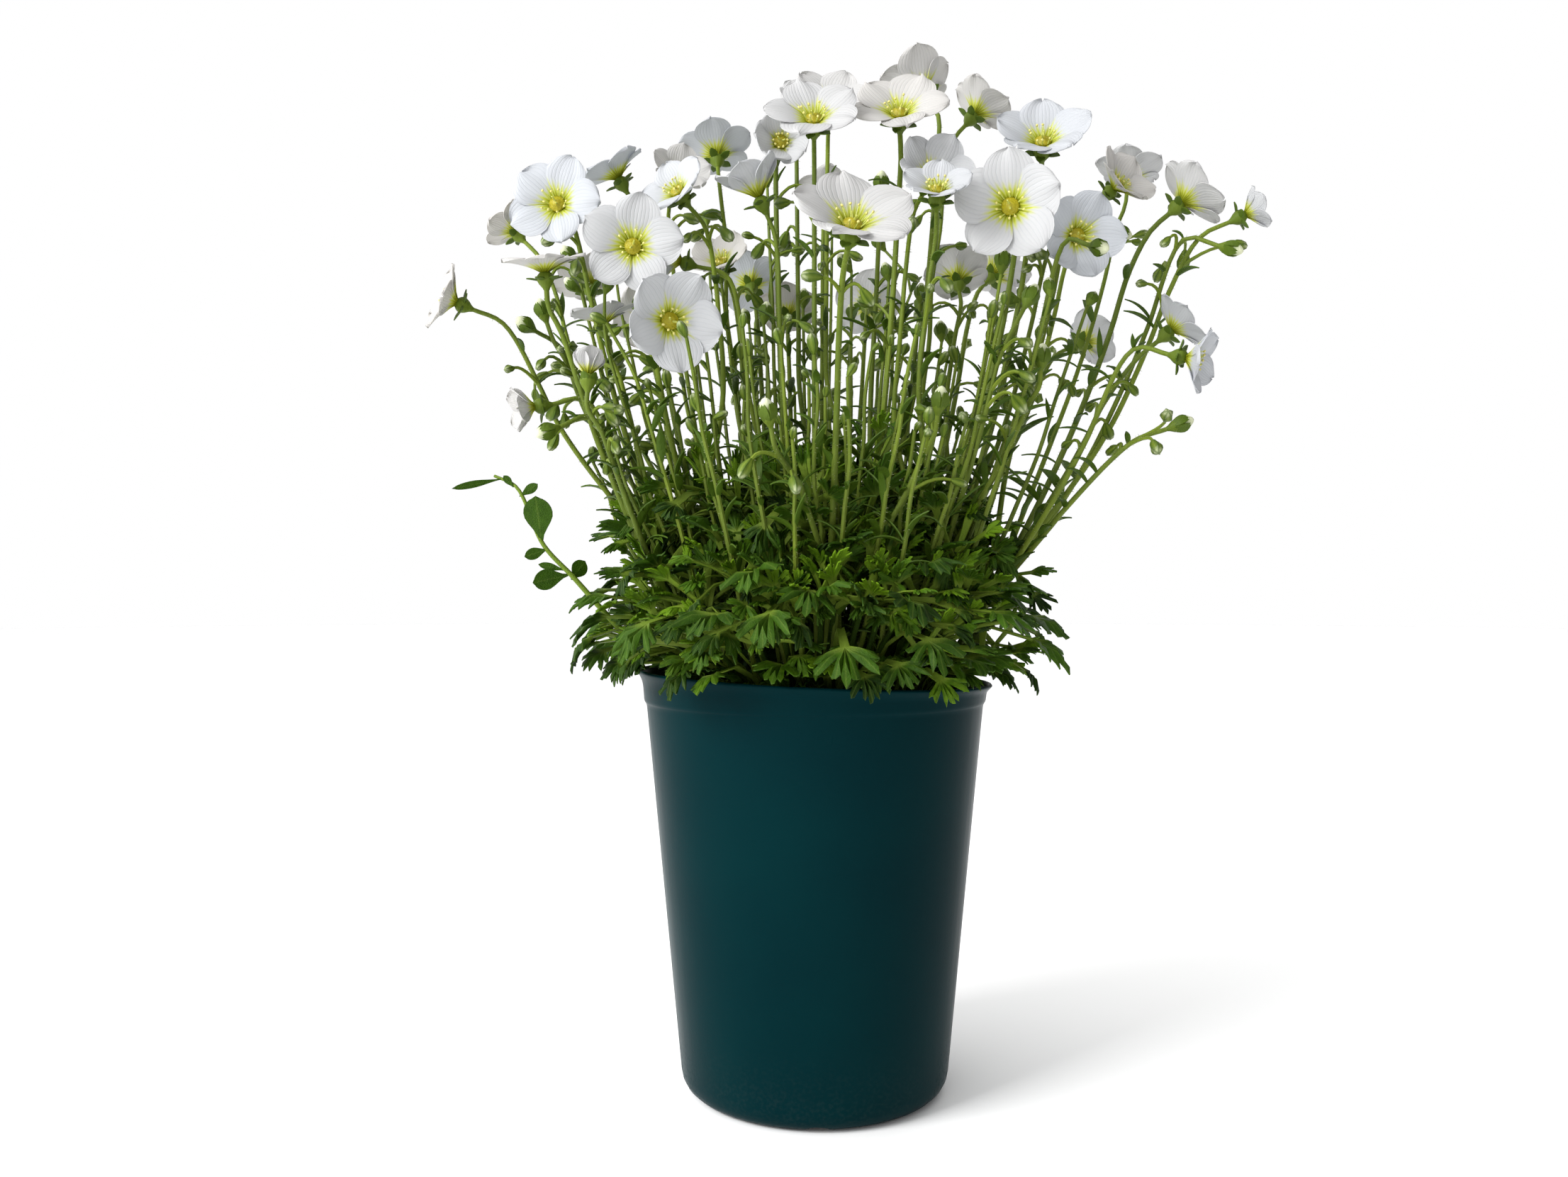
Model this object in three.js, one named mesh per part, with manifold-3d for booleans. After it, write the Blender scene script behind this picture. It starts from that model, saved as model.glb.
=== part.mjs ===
// A mossy saxifrage in flower, standing in its quart nursery pot. Millimetres, +Z up, the front towards -Y.
// The origin is the middle of the pot's underside, on the surface that the pot stands on.
import * as THREE from 'three';
import { mergeVertices } from 'three/addons/utils/BufferGeometryUtils.js';
import Module from 'manifold-3d';

const wasm = await Module();
wasm.setup();

// Driving dimensions of the pot
const potHeight = 140;
const potRimRadius = 57.8;
const potBaseRadius = 45;
const potBaseRounding = 7;
const potWall = 0.9;
const potSides = 36;
const bandHeight = 5;
const bandDepth = 0.7;
const ledgeHeight = 1;
const lipHeight = 3.4;
const lipReach = 2.6;
const lipThickness = 0.8;
const rimLift = 2.4;
const drainWidth = 9;
const drainHeight = 2.2;
const drainInnerRadius = 31;
const drainCount = 4;

// Driving dimensions of the potting mix, and of the leafy cushion that is rooted in it
const clearance = 0.3;
const mixTop = 126;
const mixSides = 22;
const mixShoulderRadius = 42;
const crumbHeight = 0.9;
const crownRadius = 30;
const crownDepth = 14;
const coreRadius = 47;
const coreHeight = 42;
const coreSides = 16;
const leafCount = 68;
const leafLength = 44;
const outerLeafExtra = 16;
const leafThickness = 0.8;
const leafCupping = 0.03;
const goldenAngle = 137.508;
const leafRootInset = 9;
const lowestLeafRoot = 14;
const leafRootRise = 24;
const fiveLobedFrom = 0.75;
const insideRim = 6;
const outsideRim = 7;
const rimPassHeight = 2.4;

// The slope of the leaves in degrees above the level, at the foot and at the tip: in the middle of the
// cushion, and how much less it is at the edge
const leafStartSlope = 88;
const leafStartDrop = 26;
const leafEndSlope = 48;
const leafEndDrop = 104;

// Driving dimensions of the flower stems, their leaves and the flowers
const footHeight = 133;
const fanHeight = 300;
const fanGrowth = 1.25;
const fanFlare = 4.6e-4;
const stemRadius = 1.15;
const stemSides = 3;
const stemHoleClearance = 0.6;
const forkSpacing = 7;
const forkLength = 62;
const stemLeafHalfWidth = 1.8;
const stemLeafDroop = 3;
const lowestStemLeaf = 216;
const calyxLength = 3.6;
const calyxRadius = 2.6;
const sepalReach = 5.4;
const budLength = 5.4;
const petalCount = 5;
const petalThickness = 0.7;
const petalStretch = 1.1;
const bendClearance = 2.4;
const bendFade = 14;
const bendRise = 40;
const leastNeck = 10;
const mostNeck = 26;
const neckPerDegree = 0.22;
const routeSpans = 7;
const simplifyTolerance = 0.03;

// Half outlines of the leaves: the share of the length from the foot, and the half-width there. The first
// points are the flat stalk, and each further peak is the tip of a lobe.
const fiveLobedLeaf = [[0, 1.2], [0.54, 1.3], [0.78, 9.2], [0.78, 4.8], [0.94, 6.6], [0.85, 2.2], [1.03, 0]];
const threeLobedLeaf = [[0, 1.1], [0.56, 1.2], [0.86, 7.6], [0.82, 2.4], [1.03, 0]];
const leafMiddle = 0.74;

const potColour = '#0d3a3c';
const mixColour = '#1d1510';
const leafColour = '#2f5f16';
const stemColour = '#4f7a1f';
const petalColour = '#f3f4f1';

// Where each flower or bud stands, and how it faces: x, y and z are the top of its calyx, and it leans by
// lean degrees from upright, toward 0 at the right, 90 at the back, 180 at the left or 270 at the front.
// halfWidth is that of the flower as it opens, and open runs from 0, a tight bud, to 1, flat. The flowers
// of one spray share its forked stem, whose first fork is at the height fork.
const flower = (x, y, z, halfWidth, lean, toward, open) => ({ x, y, z, halfWidth, lean, toward, open });
const bud = (x, y, z, lean, toward) => ({ x, y, z, halfWidth: 0, lean, toward, open: 0 });

const sprays = [
  { fork: 168, heads: [
    flower(-85, -15, 296, 16.5, 82, 262, 0.95),
    flower(-118, -15, 264, 12.5, 70, 205, 0.8),
    bud(-93, -2, 264, 20, 180),
    bud(-97, -9, 258, 70, 230),
  ] },
  { fork: 160, heads: [
    flower(-86, -36, 268, 14, 12, 250, 0.95),
    flower(-89, -30, 228, 10, 100, 200, 0.5),
    bud(-84, -40, 219, 110, 215),
    flower(-71, -46, 234, 9, 10, 90, 0.2),
    flower(-70, -16, 256, 12, 10, 200, 0.9),
  ] },
  { fork: 172, heads: [
    flower(-58.5, -32, 278, 16.5, 92, 272, 0.95),
    flower(-46, -54, 250, 16.5, 95, 292, 0.8),
    flower(-44, -20, 298, 13, 60, 235, 0.85),
  ] },
  { fork: 165, heads: [
    flower(-69, 18, 315, 14, 32, 190, 0.9),
    flower(-108, 28, 299, 11, 45, 160, 0.8),
    flower(-84, 46, 283, 14, 35, 120, 0.8),
    flower(-50, 34, 320, 13, 62, 290, 0.7),
  ] },
  { fork: 158, heads: [
    flower(8, -84, 268, 18.5, 47, 280, 0.85),
    flower(-1, -34, 316, 16, 52, 268, 0.9),
    bud(-15, -76, 219, 25, 240),
    bud(36, -58, 225, 15, 300),
  ] },
  { fork: 175, heads: [
    flower(-12, -2, 321, 13, 88, 275, 0.5),
    flower(-18, -22, 296, 15, 25, 200, 0.45),
    flower(-45, 6, 283, 12, 75, 190, 0.7),
    flower(-36, 48, 333, 15, 30, 100, 0.9),
    flower(-33, 34, 288, 13, 50, 250, 0.8),
  ] },
  { fork: 178, heads: [
    flower(27, -25, 321, 16.5, 50, 262, 0.9),
    flower(38.5, 4, 340, 16, 40, 120, 0.7),
    flower(5.5, 17, 340, 15, 50, 270, 0.8),
    flower(-6, 31, 343, 12, 5, 90, 0.1),
    bud(23, 0, 308, 20, 270),
  ] },
  { fork: 166, heads: [
    flower(60, -45, 287, 17.5, 95, 252, 0.9),
    flower(36, -28, 300, 15, 66, 285, 0.7),
    flower(36, -52, 288, 12, 45, 265, 0.8),
    bud(66, -42, 260, 30, 20),
    bud(71, -36, 242, 5, 0),
  ] },
  { fork: 170, heads: [
    flower(76, -12, 316, 17, 52, 262, 0.8),
    flower(86, -12, 287, 16, 95, 285, 0.8),
    flower(106, 16, 311, 14, 60, 310, 0.7),
    bud(88, -38, 277, 110, 300),
    flower(58, 26, 341, 14, 40, 20, 0.8),
    flower(54, 34, 282, 14, 40, 90, 0.8),
  ] },
  { fork: 156, heads: [
    flower(125, 0, 301, 15, 48, 5, 0.8),
    flower(119, 42, 322, 14, 22, 60, 0.8),
    flower(145, -5, 296, 9.5, 65, 350, 0.6),
    bud(139, -10, 284, 110, 330),
    bud(106, 6, 294, 110, 0),
    flower(115, -22, 253, 12, 50, 0, 0.8),
    flower(114, -40, 242, 12, 105, 330, 0.7),
    bud(116, -30, 222, 70, 350),
  ] },
  { fork: 164, heads: [
    flower(-24, 82, 292, 15, 55, 100, 0.9),
    flower(-9, 56, 274, 13, 45, 90, 0.8),
    flower(-64, 78, 278, 15, 60, 130, 0.9),
    flower(6, 62, 320, 14, 35, 80, 0.9),
  ] },
  { fork: 160, heads: [
    flower(72, 72, 294, 15, 50, 50, 0.85),
    flower(24, 90, 286, 15.5, 70, 85, 0.9),
    flower(104, 54, 264, 13, 65, 30, 0.8),
  ] },
];

// The leafy shoot at the left: its stem, and its oval leaves with their foot, bearing, rise, length and
// half-width. The last two are narrow leaves at its thin tip.
const shootStem = [[-52, -9, 144], [-66, -14, 157], [-80, -17, 173], [-90, -18, 184], [-99, -17, 203],
  [-107, -14, 207]].map((p) => new THREE.Vector3(...p));
const shootLeaf = (x, y, z, azimuth, rise, length, halfWidth) => (
  { root: new THREE.Vector3(x, y, z), azimuth, rise, length, halfWidth });
const shootLeaves = [
  shootLeaf(-84, -17, 176.5, 215, 20, 15, 4.4),
  shootLeaf(-91.5, -18, 186, 262, 60, 18, 4.8),
  shootLeaf(-87, -18, 181, 60, 10, 9, 3),
  shootLeaf(-98, -17, 200, 340, 30, 8, 1.6),
  shootLeaf(-104, -15, 206, 200, -12, 17, 1.4),
];

const up = new THREE.Vector3(0, 0, 1);
const radians = THREE.MathUtils.degToRad;
const smooth = (t) => THREE.MathUtils.smoothstep(t, 0, 1);

// The same draws come each time: s becomes 48271 s modulo 2^31 - 1, and the first three draws are passed
// over
function seededDraws(seed) {
  let s = seed;
  const draw = () => {
    s = (s * 48271) % 2147483647;
    return s / 2147483647;
  };
  for (let i = 0; i < 3; i += 1) draw();
  return draw;
}

// The direction that leans by so many degrees from upright, toward a bearing
function facing(lean, toward) {
  return new THREE.Vector3().setFromSphericalCoords(1, radians(lean), radians(toward) + Math.PI / 2)
    .applyAxisAngle(new THREE.Vector3(1, 0, 0), Math.PI / 2);
}

function indexedGeometry(points, index) {
  const geometry = new THREE.BufferGeometry();
  geometry.setAttribute('position', new THREE.Float32BufferAttribute(points.flatMap((p) => p.toArray()), 3));
  geometry.setIndex(index);
  return geometry;
}

// A closed geometry as a solid that can be joined and cut
function solidOf(geometry) {
  const bare = geometry.clone().deleteAttribute('normal').deleteAttribute('uv');
  const merged = mergeVertices(bare, 1e-4);
  const solid = new wasm.Manifold(new wasm.Mesh({
    numProp: 3,
    vertProperties: new Float32Array(merged.attributes.position.array),
    triVerts: new Uint32Array(merged.index.array),
  }));
  if (solid.volume() <= 0) throw new Error('a geometry is inside out');
  return solid;
}

function geometryOf(solid) {
  const mesh = solid.getMesh();
  const geometry = new THREE.BufferGeometry();
  geometry.setAttribute('position', new THREE.BufferAttribute(new Float32Array(mesh.vertProperties), 3));
  geometry.setIndex(new THREE.BufferAttribute(new Uint32Array(mesh.triVerts), 1));
  return geometry;
}

const joined = (geometries) => geometries.map(solidOf).reduce((whole, next) => whole.add(next));

// The largest body of a solid: scraps that a cut has left loose are dropped
const largestBody = (solid) => solid.decompose().reduce((a, b) => (a.volume() > b.volume() ? a : b));

function meshOf(name, geometry, color, roughness) {
  geometry.computeVertexNormals();
  const mesh = new THREE.Mesh(geometry, new THREE.MeshStandardMaterial({ color, roughness, metalness: 0 }));
  mesh.name = name;
  return mesh;
}

const numbered = (name, number) => `${name}_${String(number).padStart(2, '0')}`;

// A thin blade with the same triangles on both faces and a wall round its rim. Each point has a place and a
// normal.
function bladeGeometry(points, triangles, rim, thickness) {
  const lift = thickness / 2;
  const face = (side) => points.map(({ at, normal }) => at.clone().addScaledVector(normal, side * lift));
  const n = points.length;
  const index = triangles.flatMap(([a, b, c]) => [a, b, c, n + a, n + c, n + b]);
  rim.forEach((a, i) => {
    const b = rim[(i + 1) % rim.length];
    index.push(a, n + a, n + b, a, n + b, b);
  });
  return indexedGeometry([...face(1), ...face(-1)], index);
}

// The pot is a thin moulded cup. Its side runs straight from the rounded foot to the band below the lip.
function sideRadius(z) {
  const share = (z - potBaseRounding) / (potHeight - bandHeight - potBaseRounding);
  return THREE.MathUtils.lerp(potBaseRadius, potRimRadius, share);
}

// The rounded corner at the foot of the pot, or the same corner so much further in
function footCorner(inward) {
  return [0, 45, 90].map((a) => new THREE.Vector2(
    potBaseRadius - potBaseRounding + (potBaseRounding - inward) * Math.sin(radians(a)),
    potBaseRounding - (potBaseRounding - inward) * Math.cos(radians(a)),
  ));
}

function drainSlot(i) {
  const outward = potBaseRadius - drainInnerRadius;
  const slot = new THREE.BoxGeometry(2 * outward, drainWidth, 2 * drainHeight);
  return slot.translate(drainInnerRadius + outward, 0, 0).rotateZ((2 * Math.PI * i) / drainCount);
}

function buildPot() {
  const bandTop = potHeight - lipHeight;
  const bandBottom = bandTop - bandHeight;
  const lipRadius = sideRadius(bandTop) + lipReach;
  const profile = [
    new THREE.Vector2(0, 0),
    ...footCorner(0),
    new THREE.Vector2(sideRadius(bandBottom - ledgeHeight), bandBottom - ledgeHeight),
    new THREE.Vector2(sideRadius(bandBottom) + bandDepth, bandBottom),
    new THREE.Vector2(sideRadius(bandTop) + bandDepth, bandTop),
    new THREE.Vector2(lipRadius, potHeight - lipThickness),
    new THREE.Vector2(lipRadius - lipThickness, potHeight),
    new THREE.Vector2(lipRadius - 2 * lipThickness, potHeight - lipThickness),
    new THREE.Vector2(sideRadius(bandTop) + bandDepth - potWall, bandTop - potWall / 2),
    new THREE.Vector2(sideRadius(bandBottom) - potWall, bandBottom - potWall / 2),
    ...footCorner(potWall).reverse(),
    new THREE.Vector2(0, potWall),
  ];
  const geometry = new THREE.LatheGeometry(profile, potSides).rotateX(Math.PI / 2);
  // The thin rim is sprung a little out of level, higher on the left
  const place = geometry.attributes.position;
  for (let i = 0; i < place.count; i += 1) {
    const share = smooth((place.getZ(i) - bandBottom) / (potHeight - bandBottom));
    place.setZ(i, place.getZ(i) - (rimLift * share * place.getX(i)) / potRimRadius);
  }
  const slots = Array.from({ length: drainCount }, (_, i) => drainSlot(i));
  return meshOf('pot', geometryOf(solidOf(geometry).subtract(joined(slots))), potColour, 0.4);
}

// The potting mix fills the pot, with a crumbly top and one plain round hole for the plant's crown
function buildPottingMix() {
  const inward = potWall + 2 * clearance;
  const holeRadius = crownRadius + 3 * clearance;
  const holeBottom = mixTop - crownDepth - clearance;
  const profile = [
    new THREE.Vector2(0, inward),
    ...footCorner(inward),
    new THREE.Vector2(sideRadius(mixTop) - inward, mixTop - crumbHeight),
    new THREE.Vector2(mixShoulderRadius, mixTop),
    new THREE.Vector2(holeRadius, mixTop),
    new THREE.Vector2(holeRadius, holeBottom),
    new THREE.Vector2(0, holeBottom),
  ];
  const geometry = new THREE.LatheGeometry(profile, mixSides).rotateX(Math.PI / 2);
  const place = geometry.attributes.position;
  for (let i = 0; i < place.count; i += 1) {
    const onTop = place.getZ(i) > mixTop - 0.1 && Math.hypot(place.getX(i), place.getY(i)) > holeRadius + 1;
    const crumb = crumbHeight * (1 + Math.sin(place.getX(i) * 1.7) * Math.cos(place.getY(i) * 1.3));
    if (onTop) place.setZ(i, place.getZ(i) - crumb);
  }
  return meshOf('potting_mix', geometryOf(solidOf(geometry)), mixColour, 1);
}

// A petal leans away from the flower's axis, and its lean grows evenly from t = 0 at its foot to t = 1 at
// its tip
function petalPoint(head, t) {
  const foot = radians(22 + 26 * head.open);
  const tip = radians(4 + 92 * head.open);
  const lean = THREE.MathUtils.lerp(foot, tip, t);
  const k = (petalStretch * head.halfWidth) / (tip - foot);
  return { r: k * (Math.cos(foot) - Math.cos(lean)), z: k * (Math.sin(lean) - Math.sin(foot)), lean };
}

// The five rounded petals of a flower, which are joined at the foot, about the flower's own axis
function petalsGeometry(head, draw) {
  const step = (2 * Math.PI) / petalCount;
  const place = (t, angle, lift) => {
    const p = petalPoint(head, t);
    const away = new THREE.Vector3(Math.cos(angle), Math.sin(angle), 0);
    const normal = away.clone().multiplyScalar(-Math.cos(p.lean)).addScaledVector(up, Math.sin(p.lean));
    return { at: away.multiplyScalar(p.r).addScaledVector(up, p.z).addScaledVector(normal, lift), normal };
  };
  const points = [{ at: new THREE.Vector3(), normal: up }];
  for (let i = 0; i < petalCount; i += 1) points.push(place(0.52, i * step, -0.3));
  for (let i = 0; i < petalCount; i += 1) {
    const length = 0.95 + 0.08 * draw();
    const curl = 0.06 * head.halfWidth * (draw() - 0.5);
    points.push(
      place(0.92 * length, (i - 0.31) * step, 0.5 + curl),
      place(length, i * step, curl),
      place(0.92 * length, (i + 0.31) * step, -0.5 + curl),
      place(0.7, (i + 0.5) * step, 0.2),
    );
  }
  const rimCount = 4 * petalCount;
  const rim = (i) => 1 + petalCount + ((i + rimCount) % rimCount);
  const triangles = [];
  for (let i = 0; i < petalCount; i += 1) {
    const middle = 1 + i;
    triangles.push([0, rim(4 * i - 1), middle], [0, middle, rim(4 * i + 3)]);
    for (let j = 4 * i - 1; j < 4 * i + 3; j += 1) triangles.push([middle, rim(j), rim(j + 1)]);
  }
  return bladeGeometry(points, triangles, Array.from({ length: rimCount }, (_, i) => rim(i)), petalThickness);
}

function buildPetals(head, number) {
  const draw = seededDraws(100 + number);
  const mesh = meshOf(numbered('petals', number), petalsGeometry(head, draw), petalColour, 0.6);
  mesh.position.copy(head.seat).addScaledVector(head.normal, petalThickness / 2 + clearance);
  mesh.quaternion.setFromUnitVectors(up, head.normal);
  mesh.rotateZ(2 * Math.PI * draw());
  return mesh;
}

// The rim of the green cup under a flower, a star of five pointed sepals, or the rim of a closed bud, and
// then its top
function calyxPoints(head) {
  const size = 0.75 + 0.02 * head.halfWidth;
  const fold = head.open > 0.3 ? 0.6 : -1.6;
  const tip = head.halfWidth ? (sepalReach - Math.abs(fold)) * size : calyxRadius;
  const notch = (head.halfWidth ? 0.75 * size : 0.85) * calyxRadius;
  const points = Array.from({ length: 2 * petalCount }, (_, i) => {
    const a = ((i + 1) * Math.PI) / petalCount;
    return i % 2
      ? new THREE.Vector3(notch * Math.cos(a), notch * Math.sin(a), -0.4)
      : new THREE.Vector3(tip * Math.cos(a), tip * Math.sin(a), head.halfWidth ? -fold - 0.2 : -0.4);
  });
  points.push(new THREE.Vector3(0, 0, head.halfWidth ? 0 : budLength));
  const aim = new THREE.Quaternion().setFromUnitVectors(up, head.normal);
  return points.map((p) => p.applyQuaternion(aim).add(head.seat));
}

// Triangles from a ring of points out to a wider ring round the same axis, going round both together
function bridgedRings(points, inner, outer, head) {
  const aim = new THREE.Quaternion().setFromUnitVectors(head.normal, up);
  const bearing = (i) => {
    const p = points[i].clone().sub(head.seat).applyQuaternion(aim);
    return THREE.MathUtils.euclideanModulo(Math.atan2(p.y, p.x), 2 * Math.PI);
  };
  const steps = [...inner, ...outer].sort((a, b) => bearing(a) - bearing(b));
  const last = (ring) => steps.filter((i) => ring.includes(i)).at(-1);
  let [from, to] = [last(inner), last(outer)];
  return steps.flatMap((i) => {
    const triangle = [from, i, to];
    if (inner.includes(i)) from = i;
    else to = i;
    return triangle;
  });
}

// A stem along a smooth curve, with closer steps toward its head, where it opens into the calyx
function stemGeometry(route, radius, steps, head) {
  const path = new THREE.CatmullRomCurve3(route, false, 'centripetal');
  const points = [];
  const side = new THREE.Vector3(1, 0, 0);
  for (let i = 0; i <= steps; i += 1) {
    const u = 1 - (1 - i / steps) ** 1.5;
    const along = path.getTangentAt(u);
    side.addScaledVector(along, -side.dot(along)).normalize();
    for (let j = 0; j < stemSides; j += 1) {
      const off = side.clone().applyAxisAngle(along, (2 * Math.PI * j) / stemSides);
      points.push(path.getPointAt(u).addScaledVector(off, radius));
    }
  }
  const index = [0, 2, 1];
  for (let i = 0; i < steps * stemSides; i += 1) {
    const next = (i + 1) % stemSides ? i + 1 : i + 1 - stemSides;
    index.push(i, next, next + stemSides, i, next + stemSides, i + stemSides);
  }
  const end = [0, 1, 2].map((j) => steps * stemSides + j);
  if (!head) return indexedGeometry(points, [...index, ...end]);
  const cup = calyxPoints(head).map((p) => points.push(p) - 1);
  const top = cup.pop();
  cup.forEach((i, j) => index.push(top, i, cup[(j + 1) % cup.length]));
  return indexedGeometry(points, [...index, ...bridgedRings(points, end, cup, head)]);
}

// A narrow leaf on a flower stem
function stemLeafGeometry(at, azimuth, rise, length) {
  const along = facing(90 - rise, azimuth);
  const side = new THREE.Vector3().crossVectors(up, along).normalize();
  const normal = new THREE.Vector3().crossVectors(along, side);
  const place = (t, w) => ({
    at: at.clone().addScaledVector(along, t * length).addScaledVector(side, w)
      .addScaledVector(up, -stemLeafDroop * t * t),
    normal,
  });
  const points = [place(0, 0), place(0.55, -stemLeafHalfWidth), place(1, 0), place(0.55, stemLeafHalfWidth)];
  return bladeGeometry(points, [[0, 1, 3], [1, 2, 3]], [0, 1, 2, 3], leafThickness);
}

// Stems fan out from the crown: the further out a stem starts, the more it spreads, so that no two meet on
// the way
function spreadRadius(footRadius, z) {
  const rise = Math.max(0, (z - footHeight) / (fanHeight - footHeight));
  const share = rise < 1 ? 1.5 * rise - 0.5 * rise * rise : 0.5 + 0.5 * rise;
  return footRadius * (1 + share * (fanGrowth + fanFlare * footRadius * footRadius));
}

// The foot of the stem whose line passes through a point, found by halving
function footUnder(point) {
  let [low, high] = [0, potRimRadius];
  for (let i = 0; i < 30; i += 1) {
    const middle = (low + high) / 2;
    if (spreadRadius(middle, point.z) < Math.hypot(point.x, point.y)) low = middle;
    else high = middle;
  }
  return new THREE.Vector2(point.x, point.y).setLength(low);
}

function fanPoint(foot, z) {
  const k = spreadRadius(foot.length(), z) / foot.length();
  return new THREE.Vector3(foot.x * k, foot.y * k, z);
}

// A stem that would run through another flower bends aside round it
function bentClear(point, own, heads) {
  const p = point.clone();
  for (let pass = 0; pass < 3; pass += 1) {
    for (const other of heads.filter((h) => h !== own && h.halfWidth)) {
      const off = p.clone().sub(other.seat);
      const height = off.dot(other.normal);
      off.addScaledVector(other.normal, -height);
      const beyond = Math.abs(height - 0.18 * other.halfWidth) - 0.3 * other.halfWidth - 1;
      const push = (other.span + bendClearance - off.length()) * (1 - smooth(beyond / bendFade));
      if (push > 0) p.addScaledVector(off.normalize(), push);
    }
  }
  return p;
}

// How long a stretch of stem below a head curves to face its way
const neckLength = (head) => Math.min(mostNeck, leastNeck + neckPerDegree * head.lean);

// The points of a stem: from its foot, or from its fork on the spray's main stem, up its own line to its
// head
function stemRoute(spray, order, heads) {
  const head = spray.heads[order];
  const neck = neckLength(head);
  const base = head.seat.clone().addScaledVector(head.normal, -calyxLength);
  const behind = base.clone().addScaledVector(head.normal, -0.6 * neck);
  const top = Math.min(base.z - neck, behind.z - 0.4 * neck);
  const own = footUnder(behind.clone().setZ(base.z));
  const fork = spray.fork + forkSpacing * (order % 3);
  const start = order ? fork : footHeight;
  const points = [];
  for (let i = 0; i <= routeSpans; i += 1) {
    const z = THREE.MathUtils.lerp(start, top, i / routeSpans);
    const share = order ? Math.sin((Math.PI / 2) * Math.min(1, (z - fork) / forkLength)) : 1;
    const p = fanPoint(spray.foot ?? own, z).lerp(fanPoint(own, z), share);
    points.push(p.clone().lerp(bentClear(p, head, heads), smooth((z - fork) / bendRise)));
  }
  points.push(base.clone().addScaledVector(head.normal, -0.45 * neck), base);
  spray.foot ??= own;
  return points;
}

const stemSteps = (order) => (order ? 6 : 7);

// A spray: its forked stem, with a narrow leaf on every other branch, and a calyx under each flower
function buildSpray(spray, number) {
  const draw = seededDraws(300 + number);
  const parts = [];
  spray.routes.forEach((route, order) => {
    parts.push(stemGeometry(route, stemRadius, stemSteps(order), spray.heads[order]));
    const at = new THREE.CatmullRomCurve3(route, false, 'centripetal').getPointAt(0.5 + 0.25 * draw());
    const leaf = stemLeafGeometry(at, 360 * draw(), 25 + 30 * draw(), 10 + 6 * draw());
    if (order % 2 === 0 && at.z > lowestStemLeaf) parts.push(leaf);
  });
  const solid = largestBody(joined(parts).simplify(simplifyTolerance));
  return meshOf(numbered('flower_spray', number), geometryOf(solid), stemColour, 0.6);
}

// An oval leaf of the side shoot
function ovalLeafGeometry({ root, azimuth, rise, length, halfWidth }) {
  const along = facing(90 - rise, azimuth);
  const side = new THREE.Vector3(0, 0.5, 0.2).cross(along).normalize();
  const normal = new THREE.Vector3().crossVectors(along, side);
  const place = (t, w) => (
    { at: root.clone().addScaledVector(along, t * length).addScaledVector(side, w * halfWidth), normal });
  const points = [place(0, 0), place(0.3, -0.5), place(0.6, -1), place(0.88, -0.75), place(1, 0),
    place(0.88, 0.75), place(0.6, 1), place(0.3, 0.5)];
  const triangles = [[0, 1, 7], [1, 2, 7], [2, 6, 7], [2, 3, 6], [3, 5, 6], [3, 4, 5]];
  return bladeGeometry(points, triangles, points.map((_, i) => i), leafThickness);
}

function buildSideShoot() {
  const parts = [stemGeometry(shootStem, stemRadius, stemSteps(0)), ...shootLeaves.map(ovalLeafGeometry)];
  return meshOf('side_shoot', geometryOf(largestBody(joined(parts))), leafColour, 0.6);
}

// Along a leaf its slope above the level changes evenly from start to end, so that its blade arches over
function leafPoint(leaf, t) {
  const start = radians(leaf.start);
  const turned = radians(leaf.end) - start;
  const slope = start + turned * t;
  const level = facing(90, leaf.azimuth);
  return {
    at: leaf.root.clone()
      .addScaledVector(level, (leaf.length / turned) * (Math.sin(slope) - Math.sin(start)))
      .addScaledVector(up, (leaf.length / turned) * (Math.cos(start) - Math.cos(slope))),
    along: level.clone().multiplyScalar(Math.cos(slope)).addScaledVector(up, Math.sin(slope)),
    side: new THREE.Vector3().crossVectors(up, level),
  };
}

// A lobed leaf on its long flat stalk, a little cupped across
function leafGeometry(outline, leaf) {
  const place = (t, w) => {
    const { at, along, side } = leafPoint(leaf, t);
    side.applyAxisAngle(along, leaf.roll);
    const normal = new THREE.Vector3().crossVectors(along, side);
    at.addScaledVector(side, (w * leaf.length) / leafLength).addScaledVector(normal, leafCupping * w * w);
    return { at, normal };
  };
  const right = outline.map(([t, w]) => place(t, -w));
  const left = outline.slice(0, -1).map(([t, w]) => place(t, w));
  const points = [...right, ...left, place(leafMiddle, 0)];
  const tip = right.length - 1;
  const middle = points.length - 1;
  const across = (i) => (i < tip ? tip + 1 + i : tip);
  const triangles = [[0, 1, across(1)], [0, across(1), across(0)], [middle, across(1), 1]];
  for (let i = 1; i < tip; i += 1) triangles.push([middle, i, i + 1], [middle, across(i + 1), across(i)]);
  const rim = [...right.map((_, i) => i), ...left.map((_, i) => across(left.length - 1 - i))];
  return bladeGeometry(points, triangles, rim, leafThickness);
}

// Whether a leaf passes clear above the rim of the pot
function leafClearsRim(leaf) {
  for (let t = 0; t <= 1; t += 0.04) {
    const p = leafPoint(leaf, t).at;
    const r = Math.hypot(p.x, p.y);
    const rimTop = potHeight - (rimLift * p.x) / potRimRadius;
    const overRim = r > potRimRadius - insideRim && r < potRimRadius + outsideRim;
    if (overRim && p.z < rimTop + rimPassHeight) return false;
  }
  return true;
}

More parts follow.
